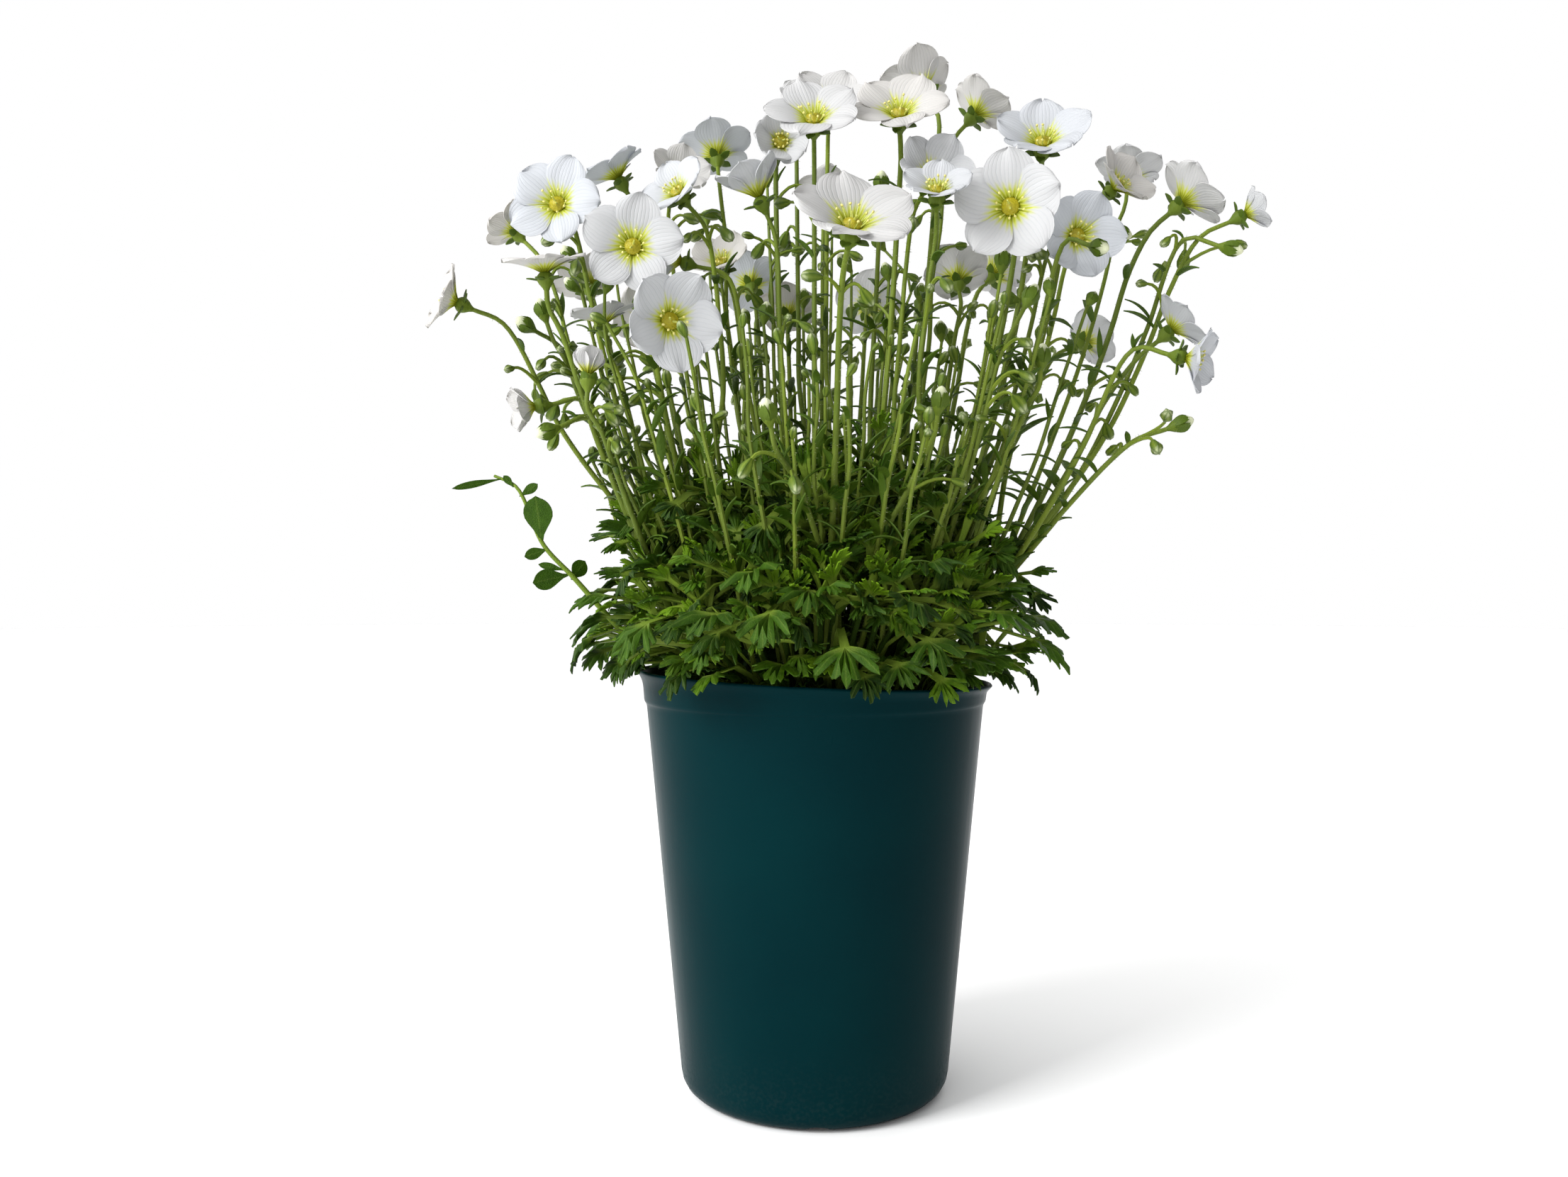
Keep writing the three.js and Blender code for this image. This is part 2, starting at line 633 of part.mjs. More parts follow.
// The core of the cushion: the crown, sunk in its hole in the mix, widens above it to a low dome
function coreGeometry() {
  const profile = [
    new THREE.Vector2(0, mixTop - crownDepth),
    new THREE.Vector2(crownRadius, mixTop - crownDepth),
    new THREE.Vector2(crownRadius, mixTop + clearance),
    new THREE.Vector2(coreRadius - 3, mixTop + clearance),
  ];
  for (const a of [14, 37, 60, 90]) {
    const r = a < 90 ? coreRadius * Math.cos(radians(a)) : 0;
    profile.push(new THREE.Vector2(r, mixTop + coreHeight * Math.sin(radians(a))));
  }
  return new THREE.LatheGeometry(profile, coreSides).rotateX(Math.PI / 2);
}

// The hole that a stem leaves in the cushion, a little deeper than the stem's foot
function stemHoleGeometry(route, steps) {
  const below = route[0].clone().sub(route[1]).setLength(1);
  const deeper = [route[0].clone().add(below), ...route.slice(1)];
  return stemGeometry(deeper, stemRadius + stemHoleClearance, steps);
}

// The leafy cushion: leaves spread evenly over the core, upright in the middle and arching over the rim at
// the edge
function buildCushion(stemHoles) {
  const draw = seededDraws(41);
  const leaves = [];
  for (let i = 0; i < leafCount; i += 1) {
    const height = 1 - (i + 0.5) / leafCount;
    const out = Math.sqrt(1 - height * height);
    const azimuth = i * goldenAngle;
    const leaf = {
      root: facing(90, azimuth).multiplyScalar((coreRadius - leafRootInset) * out)
        .setZ(mixTop + lowestLeafRoot + leafRootRise * height),
      azimuth: azimuth + 16 * (draw() - 0.5),
      start: leafStartSlope - leafStartDrop * out + 14 * (draw() - 0.5),
      end: leafEndSlope - leafEndDrop * out ** 3 + 44 * (draw() - 0.5),
      length: (leafLength + outerLeafExtra * out) * (0.88 + 0.24 * draw()),
      roll: 0.7 * (draw() - 0.5),
    };
    while (!leafClearsRim(leaf)) leaf.end += 4;
    leaves.push(leafGeometry(out > fiveLobedFrom ? fiveLobedLeaf : threeLobedLeaf, leaf));
  }
  const grown = joined([coreGeometry(), ...leaves]).subtract(joined(stemHoles));
  return meshOf('leaf_cushion', geometryOf(largestBody(grown.simplify(simplifyTolerance))), leafColour, 0.6);
}

const heads = sprays.flatMap((spray) => spray.heads);
for (const head of heads) {
  head.seat = new THREE.Vector3(head.x, head.y, head.z);
  head.normal = facing(head.lean, head.toward);
  head.span = head.halfWidth ? petalPoint(head, 1).r : calyxRadius;
}

const saxifrage = new THREE.Group();
saxifrage.add(buildPot(), buildPottingMix(), buildSideShoot());
const stemHoles = [stemHoleGeometry(shootStem, stemSteps(0))];
sprays.forEach((spray, i) => {
  spray.routes = spray.heads.map((_, order) => stemRoute(spray, order, heads));
  saxifrage.add(buildSpray(spray, i + 1));
  stemHoles.push(...spray.routes.map((route, order) => stemHoleGeometry(route, stemSteps(order))));
});
saxifrage.add(buildCushion(stemHoles));
heads.filter((head) => head.halfWidth).forEach((head, i) => saxifrage.add(buildPetals(head, i + 1)));

export default saxifrage;
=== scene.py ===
"""A mossy saxifrage in flower in its quart nursery pot: the finished pieces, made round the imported
solids.

Shapes are worked out in millimetres, +Z up, with the front towards -Y, and become meshes in metres.
"""

import bpy
import numpy as np
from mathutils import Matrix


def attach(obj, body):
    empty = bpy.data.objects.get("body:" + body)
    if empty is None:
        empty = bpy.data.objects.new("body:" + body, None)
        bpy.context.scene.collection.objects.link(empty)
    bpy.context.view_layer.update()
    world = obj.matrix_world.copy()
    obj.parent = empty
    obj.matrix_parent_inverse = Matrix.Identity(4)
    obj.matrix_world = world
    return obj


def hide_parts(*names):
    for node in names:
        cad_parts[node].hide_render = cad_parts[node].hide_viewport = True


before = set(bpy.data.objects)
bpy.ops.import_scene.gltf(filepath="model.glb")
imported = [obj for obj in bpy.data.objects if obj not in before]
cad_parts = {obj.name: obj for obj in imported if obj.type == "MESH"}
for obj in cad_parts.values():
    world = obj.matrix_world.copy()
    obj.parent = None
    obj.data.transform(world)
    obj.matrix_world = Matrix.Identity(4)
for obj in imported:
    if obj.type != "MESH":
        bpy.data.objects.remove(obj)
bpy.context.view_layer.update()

# The pot
# A quart cup formed from one thin sheet of deep teal plastic, with a stepped band and a rolled lip
# at the top and four arched drain slots cut through the foot. It stands free, and everything else
# stands in it.

MM = 0.001
UP = np.array([0.0, 0.0, 1.0])
POT_HEIGHT = 140.0
POT_RIM_RADIUS = 57.8
POT_BASE_RADIUS = 45.0
POT_BASE_ROUNDING = 7.0
POT_WALL = 0.9
POT_SIDES = 180
BAND_HEIGHT = 5.0
BAND_DEPTH = 0.7
LIP_HEIGHT = 3.4
LIP_REACH = 2.6
LIP_THICKNESS = 0.8
RIM_LIFT = 2.4
OUT_OF_ROUND = 0.0022
DRAIN_WIDTH = 9.0
DRAIN_HEIGHT = 2.2
DRAIN_INNER_RADIUS = 31.0
DRAIN_COUNT = 4
DRAIN_SIDES = 24
# A drain slot widens to its full arch in rings at these distances out from its inner end
DRAIN_REACH = np.array([0, 1, 2.6, 4.5, 12, 20])[:, None]
DRAIN_GROWTH = np.array([0.4, 0.8, 0.96, 1, 1, 1])[:, None]


def rgb(red, green, blue):
    """A screen colour, 0 to 255, as the linear colour that a shader takes."""
    screen = np.array([red, green, blue]) / 255
    linear = np.where(screen <= 0.04045, screen / 12.92, ((screen + 0.055) / 1.055) ** 2.4)
    return (*linear.tolist(), 1.0)


def add_node(tree, kind, inputs, **settings):
    """A shader node with its settings. Each input is linked if given a socket, or else set."""
    made = tree.nodes.new("ShaderNode" + kind)
    for name, value in settings.items():
        setattr(made, name, value)
    for name, value in inputs.items():
        if isinstance(value, bpy.types.NodeSocket):
            tree.links.new(value, made.inputs[name])
        else:
            made.inputs[name].default_value = value
    return made


def new_finish(name, inputs):
    """A material, its node tree and its main shader, with the inputs that are plain numbers set."""
    material = bpy.data.materials.new(name)
    material.use_nodes = True
    shader = material.node_tree.nodes["Principled BSDF"]
    for key, value in inputs.items():
        shader.inputs[key].default_value = value
    return material, material.node_tree, shader


def calc(tree, how, *values):
    """One step of arithmetic on sockets and numbers."""
    return add_node(tree, "Math", dict(enumerate(values)), operation=how).outputs[0]


def eased(tree, value, low, high):
    """0 where the value is low, 1 where it is high, and an even S between them."""
    limits = {"Value": value, "From Min": low, "From Max": high}
    return add_node(tree, "MapRange", limits, interpolation_type="SMOOTHSTEP").outputs["Result"]


def mixed(tree, share, first, second):
    """The first colour where share is 0 and the second where it is 1."""
    return add_node(tree, "Mix", {0: share, 6: first, 7: second}, data_type="RGBA").outputs[2]


def grain(tree, scale, detail=4.0, stretch=(1, 1, 1)):
    """Noise from 0 to 1 in the piece's own space, in so many grains a metre."""
    place = add_node(tree, "TexCoord", {}).outputs["Object"]
    place = add_node(tree, "Mapping", {"Vector": place, "Scale": stretch}).outputs["Vector"]
    noise = {"Vector": place, "Scale": scale, "Detail": detail}
    return add_node(tree, "TexNoise", noise).outputs["Fac"]


def painted(tree, shader, colour, roughness=None):
    """Gives the shader its colour, and its roughness where that varies."""
    tree.links.new(colour, shader.inputs["Base Color"])
    if roughness is not None:
        tree.links.new(roughness, shader.inputs["Roughness"])


def raised(tree, shader, height, depth):
    """Bump of so many metres on the shader."""
    bump = add_node(tree, "Bump", {"Height": height, "Distance": depth, "Strength": 1.0})
    tree.links.new(bump.outputs["Normal"], shader.inputs["Normal"])


def unit(vectors):
    """The vectors, each divided by its length."""
    return vectors / np.linalg.norm(vectors, axis=-1, keepdims=True)


def curve(start, middle, end, t):
    """Points at the shares t of a parabola that leaves its start toward the middle point and comes
    from there to its end: (1 - t)^2 of the start, 2 t (1 - t) of the middle and t^2 of the end."""
    return (1 - t) ** 2 * start + 2 * t * (1 - t) * middle + t**2 * end


def eased_corners(corners, steps=6):
    """An outline of (radius, height, reach) corners, each inner one eased by a parabola whose
    middle point is the corner and whose ends lie up to reach, or nearly half a side, before and
    after it."""
    corners = np.asarray(corners, float)
    place, reach = corners[1:-1, :2], corners[1:-1, 2:]
    before = corners[:-2, :2] - place
    after = corners[2:, :2] - place
    before_length = np.linalg.norm(before, axis=1, keepdims=True)
    after_length = np.linalg.norm(after, axis=1, keepdims=True)
    start = place + before * np.minimum(0.48, reach / before_length)
    end = place + after * np.minimum(0.48, reach / after_length)
    t = np.linspace(0, 1, steps)[:, None]
    curves = curve(start[:, None], place[:, None], end[:, None], t)
    return np.vstack([corners[:1, :2], curves.reshape(-1, 2), corners[-1:, :2]])


def outward(points, faces):
    """The shape with its faces pointing out: turned round if its signed volume is negative."""
    a, b, c, d = (points[faces[:, i]] for i in range(4))
    second = np.where(faces[:, 3:] < 0, 0, np.cross(c, d))
    if np.sum(a * (np.cross(b, c) + second)) < 0:
        turned = faces[:, [0, 3, 2, 1]]
        faces = np.where(faces[:, 3:] < 0, faces[:, [0, 2, 1, 3]], turned)
    return points, faces


def round_rings(radius, height, turn):
    """Rings of points about Z, each at its radius and height, with a point at every turn."""
    return np.stack([radius * np.cos(turn), radius * np.sin(turn), height + 0 * turn], -1)


def closed_rings(rings, foot, top):
    """A closed shape from rings of points, with a pole at its foot and its top. Three-cornered
    faces end in -1."""
    rows, sides = rings.shape[:2]
    here = np.arange(rows * sides).reshape(rows, sides)
    beside = np.roll(here, -1, axis=1)
    walls = np.stack([here[:-1], beside[:-1], beside[1:], here[1:]], -1).reshape(-1, 4)
    pole = np.full(sides, rows * sides)
    none = np.full(sides, -1)
    caps = [np.stack([pole, beside[0], here[0], none], -1),
            np.stack([pole + 1, here[-1], beside[-1], none], -1)]
    return outward(np.vstack([rings.reshape(-1, 3), foot, top]), np.vstack([walls, *caps]))


def revolved(profile, sides):
    """A solid of revolution about Z, from an outline of (radius, height) that starts and ends on
    the axis."""
    profile = np.asarray(profile, float)
    turn = np.arange(sides) * 2 * np.pi / sides
    rings = round_rings(profile[1:-1, :1], profile[1:-1, 1:], turn)
    return closed_rings(rings, [0, 0, profile[0, 1]], [0, 0, profile[-1, 1]])


def placed(shape, turns, places):
    """Copies of a shape: each is turned by its matrix and moved to its place."""
    points, faces = shape
    copies = np.einsum("kij,nj->kni", np.asarray(turns), points) + np.asarray(places)[:, None]
    ahead = (np.arange(len(copies)) * len(points))[:, None, None]
    return copies.reshape(-1, 3), np.where(faces < 0, -1, faces + ahead).reshape(-1, 4)


def add_object(name, parts):
    """An object of several shapes: each part is points, faces and marks. The marks are three
    numbers a point, kept as the attribute growth, which tells the finish where on the plant it
    is."""
    ahead = np.cumsum([0] + [len(points) for points, _, _ in parts])
    points = np.vstack([part[0] for part in parts])
    faces = np.vstack([np.where(part[1] < 0, -1, part[1] + n) for part, n in zip(parts, ahead)])
    marks = np.vstack([np.broadcast_to(part[2], part[0].shape) for part in parts])
    corners = faces[:, 3] < 0
    mesh = bpy.data.meshes.new(name)
    mesh.from_pydata(points * MM, [], faces[~corners].tolist() + faces[corners, :3].tolist())
    growth = mesh.attributes.new("growth", "FLOAT_VECTOR", "POINT")
    growth.data.foreach_set("vector", marks.ravel())
    thing = bpy.data.objects.new(name, mesh)
    bpy.context.scene.collection.objects.link(thing)
    return thing


def finish_piece(piece, material, node=None, crease=50):
    """The piece gets its finish, smooth but for edges sharper than the crease, and rides on the
    one body. It stands for the node, if it is given one."""
    piece.data.materials.append(material)
    piece.data.polygons.foreach_set("use_smooth", np.ones(len(piece.data.polygons), bool))
    piece.data.set_sharp_from_angle(angle=np.radians(crease))
    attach(piece, "root")
    if node:
        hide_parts(node)


def side_radius(z):
    """The radius of the pot's straight side at a height. It grows evenly from the base radius, at
    the top of the rounded foot, to the rim radius, a band's height below the rim."""
    share = (z - POT_BASE_ROUNDING) / (POT_HEIGHT - BAND_HEIGHT - POT_BASE_ROUNDING)
    return POT_BASE_RADIUS + (POT_RIM_RADIUS - POT_BASE_RADIUS) * share


def spun(angles):
    """Matrices that turn about Z by the angles, in degrees."""
    c, s = np.cos(np.radians(angles)), np.sin(np.radians(angles))
    zero, one = 0 * c, 0 * c + 1
    rows = [[c, -s, zero], [s, c, zero], [zero, zero, one]]
    return np.stack([np.stack(row, -1) for row in rows], -2)


band_top = POT_HEIGHT - LIP_HEIGHT
band_foot = band_top - BAND_HEIGHT
lip_radius = side_radius(band_top) + LIP_REACH
pot_profile = eased_corners([
    (0, 0, 0),
    (POT_BASE_RADIUS, 0, POT_BASE_ROUNDING),
    (side_radius(band_foot - 1), band_foot - 1, 1.2),
    (side_radius(band_foot) + BAND_DEPTH, band_foot, 0.8),
    (side_radius(band_top) + BAND_DEPTH, band_top, 1.6),
    (lip_radius, POT_HEIGHT - LIP_THICKNESS, 0.6),
    (lip_radius - LIP_THICKNESS, POT_HEIGHT, 0.5),
    (lip_radius - 2 * LIP_THICKNESS, POT_HEIGHT - LIP_THICKNESS, 0.6),
    (side_radius(band_top) + BAND_DEPTH - POT_WALL, band_top - POT_WALL / 2, 1.2),
    (side_radius(band_foot) - POT_WALL, band_foot - POT_WALL / 2, 1.0),
    (POT_BASE_RADIUS - POT_WALL, POT_WALL, POT_BASE_ROUNDING - POT_WALL),
    (0, POT_WALL, 0),
])
pot_points, pot_faces = revolved(pot_profile, POT_SIDES)
turn = np.arctan2(pot_points[:, 1], pot_points[:, 0])
rise = np.clip((pot_points[:, 2] - band_foot) / (POT_HEIGHT - band_foot), 0, 1)
# The rim is sprung a little out of level, higher on the left, and the side is a touch out of round
pot_points[:, 2] -= RIM_LIFT * rise**2 * (3 - 2 * rise) * pot_points[:, 0] / POT_RIM_RADIUS
oval = np.sin(2 * turn + 0.6) * pot_points[:, 2] / POT_HEIGHT
pot_points[:, :2] *= 1 + OUT_OF_ROUND * oval[:, None]
pot = add_object("nursery_pot", [(pot_points, pot_faces, (0, 0, 0))])

slot_turn = np.linspace(0, 2 * np.pi, DRAIN_SIDES, endpoint=False)
slot_rings = np.stack([
    DRAIN_INNER_RADIUS + DRAIN_REACH + 0 * slot_turn,
    DRAIN_WIDTH / 2 * DRAIN_GROWTH * np.cos(slot_turn),
    DRAIN_HEIGHT * DRAIN_GROWTH * np.sin(slot_turn),
], -1)
slot_end = DRAIN_INNER_RADIUS + DRAIN_REACH[-1, 0]
drain_slot = closed_rings(slot_rings, [DRAIN_INNER_RADIUS, 0, 0], [slot_end, 0, 0])
drain_turns = spun(np.arange(DRAIN_COUNT) * 360 / DRAIN_COUNT)
drain_slots = placed(drain_slot, drain_turns, np.zeros((DRAIN_COUNT, 3)))
cutter = add_object("drain_slots", [(*drain_slots, (0, 0, 0))])
cut = pot.modifiers.new("drain slots", "BOOLEAN")
cut.object = cutter
cut.solver = "EXACT"
pot.data = bpy.data.meshes.new_from_object(pot.evaluated_get(bpy.context.evaluated_depsgraph_get()))
pot.modifiers.clear()
bpy.data.objects.remove(cutter)

DEEP_TEAL = rgb(0, 28, 33)
LIGHTER_TEAL = rgb(0, 38, 41)
PALE_DUST = rgb(84, 92, 84)


def pot_finish():
    """Glossy teal plastic: the colour drifts a little, a trace of dust lies low down, and faint
    drawn streaks and an even, fine skin break up the shine."""
    material, tree, shader = new_finish("teal pot plastic", {"Specular IOR Level": 0.025})
    place = add_node(tree, "TexCoord", {}).outputs["Object"]
    height = add_node(tree, "SeparateXYZ", {0: place}).outputs["Z"]
    drift = grain(tree, 22)
    streaks = grain(tree, 260, 3, (1, 1, 0.05))
    colour = mixed(tree, drift, DEEP_TEAL, LIGHTER_TEAL)
    low_down = eased(tree, height, 0.03, 0.0)
    dusty = calc(tree, "MULTIPLY", low_down, eased(tree, grain(tree, 900, 5), 0.4, 0.8))
    colour = mixed(tree, calc(tree, "MULTIPLY", dusty, 0.06), colour, PALE_DUST)
    rough = calc(tree, "MULTIPLY_ADD", streaks, 0.14, 0.24)
    painted(tree, shader, colour, calc(tree, "MULTIPLY_ADD", dusty, 0.2, rough))
    skin = grain(tree, 1500, 2)
    waves = calc(tree, "MULTIPLY", drift, 0.5)
    raised(tree, shader, calc(tree, "MULTIPLY_ADD", skin, 0.05, waves), 0.0003)
    return material


finish_piece(pot, pot_finish(), "pot", crease=40)

# The potting mix
# Dark, damp peat with crumbs and a little pale perlite, filled to just below the rim. The plant is
# rooted in it.

MIX_TOP = 126.0
MIX_GAP = 0.6
MIX_SIDES = 120
MIX_RINGS = 30
MIX_HOLLOWS = 2.2
CRUMBS = 520
CRUMB_SINK = 0.9
PERLITE_SHARE = 0.1
chance = np.random.default_rng(7)

mix_wall = side_radius(MIX_TOP) - POT_WALL - MIX_GAP
mix_foot = POT_WALL + MIX_GAP
mix_profile = np.vstack([
    eased_corners([
        (0, mix_foot, 0),
        (POT_BASE_RADIUS - mix_foot, mix_foot, POT_BASE_ROUNDING),
        (mix_wall, MIX_TOP - 1, 0.5),
        (mix_wall - 2, MIX_TOP, 0),
    ])[:-1],
    np.stack([np.linspace(mix_wall - 1.5, 2, MIX_RINGS), np.full(MIX_RINGS, MIX_TOP)], -1),
    [[0, MIX_TOP]],
])
mix_points, mix_faces = revolved(mix_profile, MIX_SIDES)
on_top = mix_points[:, 2] > MIX_TOP - 0.5
mix_points[on_top, 2] -= MIX_HOLLOWS * chance.random(on_top.sum()) ** 2


def any_turns(count, sizes):
    """Matrices that turn every which way and stretch by the sizes: the columns of random matrices,
    squared up."""
    turns, _ = np.linalg.qr(chance.normal(size=(count, 3, 3)))
    turns *= np.sign(np.linalg.det(turns))[:, None, None]
    return turns * sizes[:, None, :]


crumb = revolved([(0, -1), (0.75, -0.6), (0.95, 0.2), (0.5, 0.85), (0, 1)], 6)
crumb_radius = mix_wall * np.sqrt(chance.random(CRUMBS)) * 0.97
crumb_turn = chance.random(CRUMBS) * 2 * np.pi
crumb_height = MIX_TOP - CRUMB_SINK + 0.8 * chance.random(CRUMBS)
crumb_sizes = chance.uniform(0.5, 1.5, (CRUMBS, 1)) * chance.uniform(0.6, 1.1, (CRUMBS, 3))
perlite = np.repeat(chance.random(CRUMBS) < PERLITE_SHARE, len(crumb[0]))
crumbs = placed(crumb, any_turns(CRUMBS, crumb_sizes),
                round_rings(crumb_radius, crumb_height, crumb_turn))
mix = add_object("potting_soil", [
    (mix_points, mix_faces, (0, 0, 0)),
    (*crumbs, perlite[:, None] * [1.0, 0, 0]),
])

DAMP_PEAT = rgb(20, 14, 9)
DRIER_PEAT = rgb(62, 45, 30)
PERLITE_WHITE = rgb(196, 190, 176)


def growth_marks(tree):
    """The three marks that the points of a piece carry."""
    growth = add_node(tree, "Attribute", {}, attribute_name="growth").outputs["Vector"]
    return add_node(tree, "SeparateXYZ", {0: growth}).outputs


def mix_finish():
    """Peat: near black to warm brown in small grains, rough all over, with the perlite crumbs,
    which are marked 1, off-white."""
    material, tree, shader = new_finish("peat", {"Roughness": 0.95, "Specular IOR Level": 0.2})
    perlite_mark, _, _ = growth_marks(tree)
    grains = grain(tree, 900, 6)
    peat = mixed(tree, eased(tree, grains, 0.35, 0.7), DAMP_PEAT, DRIER_PEAT)
    painted(tree, shader, mixed(tree, perlite_mark, peat, PERLITE_WHITE))
    raised(tree, shader, grains, 0.0012)
    return material


finish_piece(mix, mix_finish(), "potting_mix")

# The leaves
# Each leaf is one flat green blade, cut into three lobes and those into blunt teeth, on a broad
# stalk. Long leaves arch out over the rim, short ones stand in rosettes on the crown and fill the
# cushion, and low ones from the side of the crown close it just inside the rim.

GOLDEN_ANGLE = 137.508
CORE_RADIUS = 47.0
LONG_LEAVES = 68
LONG_LEAF_LENGTH = 44.0
OUTER_LEAF_EXTRA = 16.0
LEAF_ROOT_INSET = 9.0
LOWEST_LEAF_ROOT = 14.0
LEAF_ROOT_RISE = 24.0
LEAF_START_SLOPE = 88.0
LEAF_START_DROP = 26.0
LEAF_END_SLOPE = 48.0
LEAF_END_DROP = 104.0
INSIDE_RIM = 6.0
OUTSIDE_RIM = 7.0
RIM_PASS_HEIGHT = 2.4
RIM_PASS_STEP = 4.0
RIM_PASS_STEPS = 24

# Some rosettes are raised by chance, and those stand more upright, nearer the middle and higher
ROSETTES = 110
ROSETTE_REACH = 60.0
LOWEST_ROSETTE = 18.0
ROSETTE_RISE = 46.0
ROSETTE_LEAN = 62.0
RAISED_UPRIGHT = 34.0
RAISED_INWARD = 3.0
RAISED_HEIGHT = 22.0
RAISED_OUTER_HEIGHT = 14.0
# From the first to the last of a rosette, its leaves lean out more and grow longer
ROSETTE_LEAVES = 7
FIRST_LEAF_TILT = 12.0
LEAF_TILT_STEP = 9.5
FIRST_LEAF_LENGTH = 12.0
LEAF_LENGTH_STEP = 2.4
FIRST_BLADE_LENGTH = 6.6
BLADE_LENGTH_STEP = 0.5
LEVEL_LEAF_SLOPE = 24.0
FOLDED_SHARE = 0.2
FOLDED_SPREAD = 0.36
# Low leaves grow from the side of the crown, and some hang over the lip
LOW_LEAVES = 120
LOW_LEAF_RING = 39.0
OVER_LIP_SHARE = 0.5

# The teeth of a blade by their bearing from its middle line, in degrees, and their reach as a share
# of the blade; then the notches between them
TOOTH_BEARINGS = np.array([-61, -42, -14, 0, 14, 42, 61])
TOOTH_REACH = np.array([0.72, 0.9, 0.88, 1.0, 0.88, 0.9, 0.72])
NOTCH_BEARINGS = np.array([-51.5, -28, -7, 7, 28, 51.5])
NOTCH_REACH = np.array([0.62, 0.34, 0.77, 0.77, 0.34, 0.62])
TOOTH_HALF_WIDTH = 5.6
TOOTH_ROOT = 0.52
TOOTH_SHOULDER = 0.91
LEAF_THICKNESS = 0.45
STALK_ROWS = 4
PILLOW = 0.07


def smooth(t):
    """An even S from 0 to 1: 3 t^2 - 2 t^3, with t kept between 0 and 1."""
    t = np.clip(t, 0, 1)
    return t * t * (3 - 2 * t)


def seeded_draws(seed, count):
    """Even draws from 0 to 1: s becomes 48271 s modulo 2^31 - 1, and the first three are passed
    over."""
    draws = []
    for _ in range(count + 3):
        seed = seed * 48271 % 2147483647
        draws.append(seed / 2147483647)
    return np.array(draws[3:])


def facing(lean, toward):
    """The direction that leans by so many degrees from upright, toward a bearing from +X."""
    lean, toward = np.radians(lean), np.radians(toward)
    east, north = np.sin(lean) * np.cos(toward), np.sin(lean) * np.sin(toward)
    return np.stack([east, north, np.cos(lean) + 0 * toward], -1)


def over_dome(order, count):
    """How far up and how far out so many places over a dome are, as shares of it. They come down it
    in even steps, so that with the golden angle between them they cover it evenly."""
    up = 1 - (order + 0.5) / count
    return up, np.sqrt(1 - up**2)


def leaf_lines(leaves, t):
    """Points along each leaf at the shares t of its length, and the directions along, across and
    out of it there. Its slope above the level changes evenly from start to end, so it is an arc,
    and roll turns it about itself."""
    start = np.radians(leaves["start"])[:, None]
    turned = np.radians(leaves["end"])[:, None] - start
    slope = start + turned * t
    level = facing(90, leaves["azimuth"])[:, None]
    length = leaves["length"][:, None]
    out = length / turned * (np.sin(slope) - np.sin(start))
    climb = length / turned * (np.cos(start) - np.cos(slope))
    at = leaves["root"][:, None] + level * out[..., None] + climb[..., None] * UP
    along = level * np.cos(slope)[..., None] + np.sin(slope)[..., None] * UP
    across = np.cross(UP, level) + 0 * along
    roll = leaves["roll"][:, None, None]
    side = across * np.cos(roll) + np.cross(along, across) * np.sin(roll)
    return at, along, side, np.cross(along, side)


def cleared_of_rim(leaves, both):
    """The leaves with their ends, and their feet if both, raised in steps until they pass above
    the rim."""
    for _ in range(RIM_PASS_STEPS):
        at = leaf_lines(leaves, np.linspace(0, 1, 26)[None])[0]
        radius = np.hypot(at[..., 0], at[..., 1])
        rim = POT_HEIGHT - RIM_LIFT * at[..., 0] / POT_RIM_RADIUS
        over = (radius > POT_RIM_RADIUS - INSIDE_RIM) & (radius < POT_RIM_RADIUS + OUTSIDE_RIM)
        raise_now = (over & (at[..., 2] < rim + RIM_PASS_HEIGHT)).any(axis=1)
        leaves["end"] = leaves["end"] + RIM_PASS_STEP * raise_now
        leaves["start"] = leaves["start"] + RIM_PASS_STEP * raise_now * both
    return leaves


def leaf_form(count, curl, cup, wave):
    """By chance, the reach of each leaf's notches, how far its tip curls down, how it cups along
    the middle, and the height and the place of the waves in its edge."""
    return {
        "notch": chance.uniform(0.8, 1.1, count),
        "curl": chance.uniform(*curl, count),
        "cup": chance.uniform(*cup, count),
        "wave": chance.uniform(*wave, count),
        "phase": chance.uniform(0, 6, count),
    }


def sheet_faces(upper, rim, count):
    """The faces of a thin closed blade: the upper ones, the same turned round below, and a wall
    round the rim."""
    upper = np.asarray(upper)
    lower = np.where(upper[:, 3:] < 0, upper[:, [0, 2, 1, 3]], upper[:, [0, 3, 2, 1]])
    rim = np.asarray(rim)
    ahead = np.roll(rim, -1)
    walls = np.stack([rim, rim + count, ahead + count, ahead], -1)
    return np.vstack([upper, np.where(lower < 0, -1, lower + count), walls])


def repeated(points, faces):
    """Many shapes of the same faces, from their points: (shape, point, coordinate)."""
    ahead = (np.arange(len(points)) * points.shape[1])[:, None, None]
    return points.reshape(-1, 3), np.where(faces < 0, -1, faces + ahead).reshape(-1, 4)


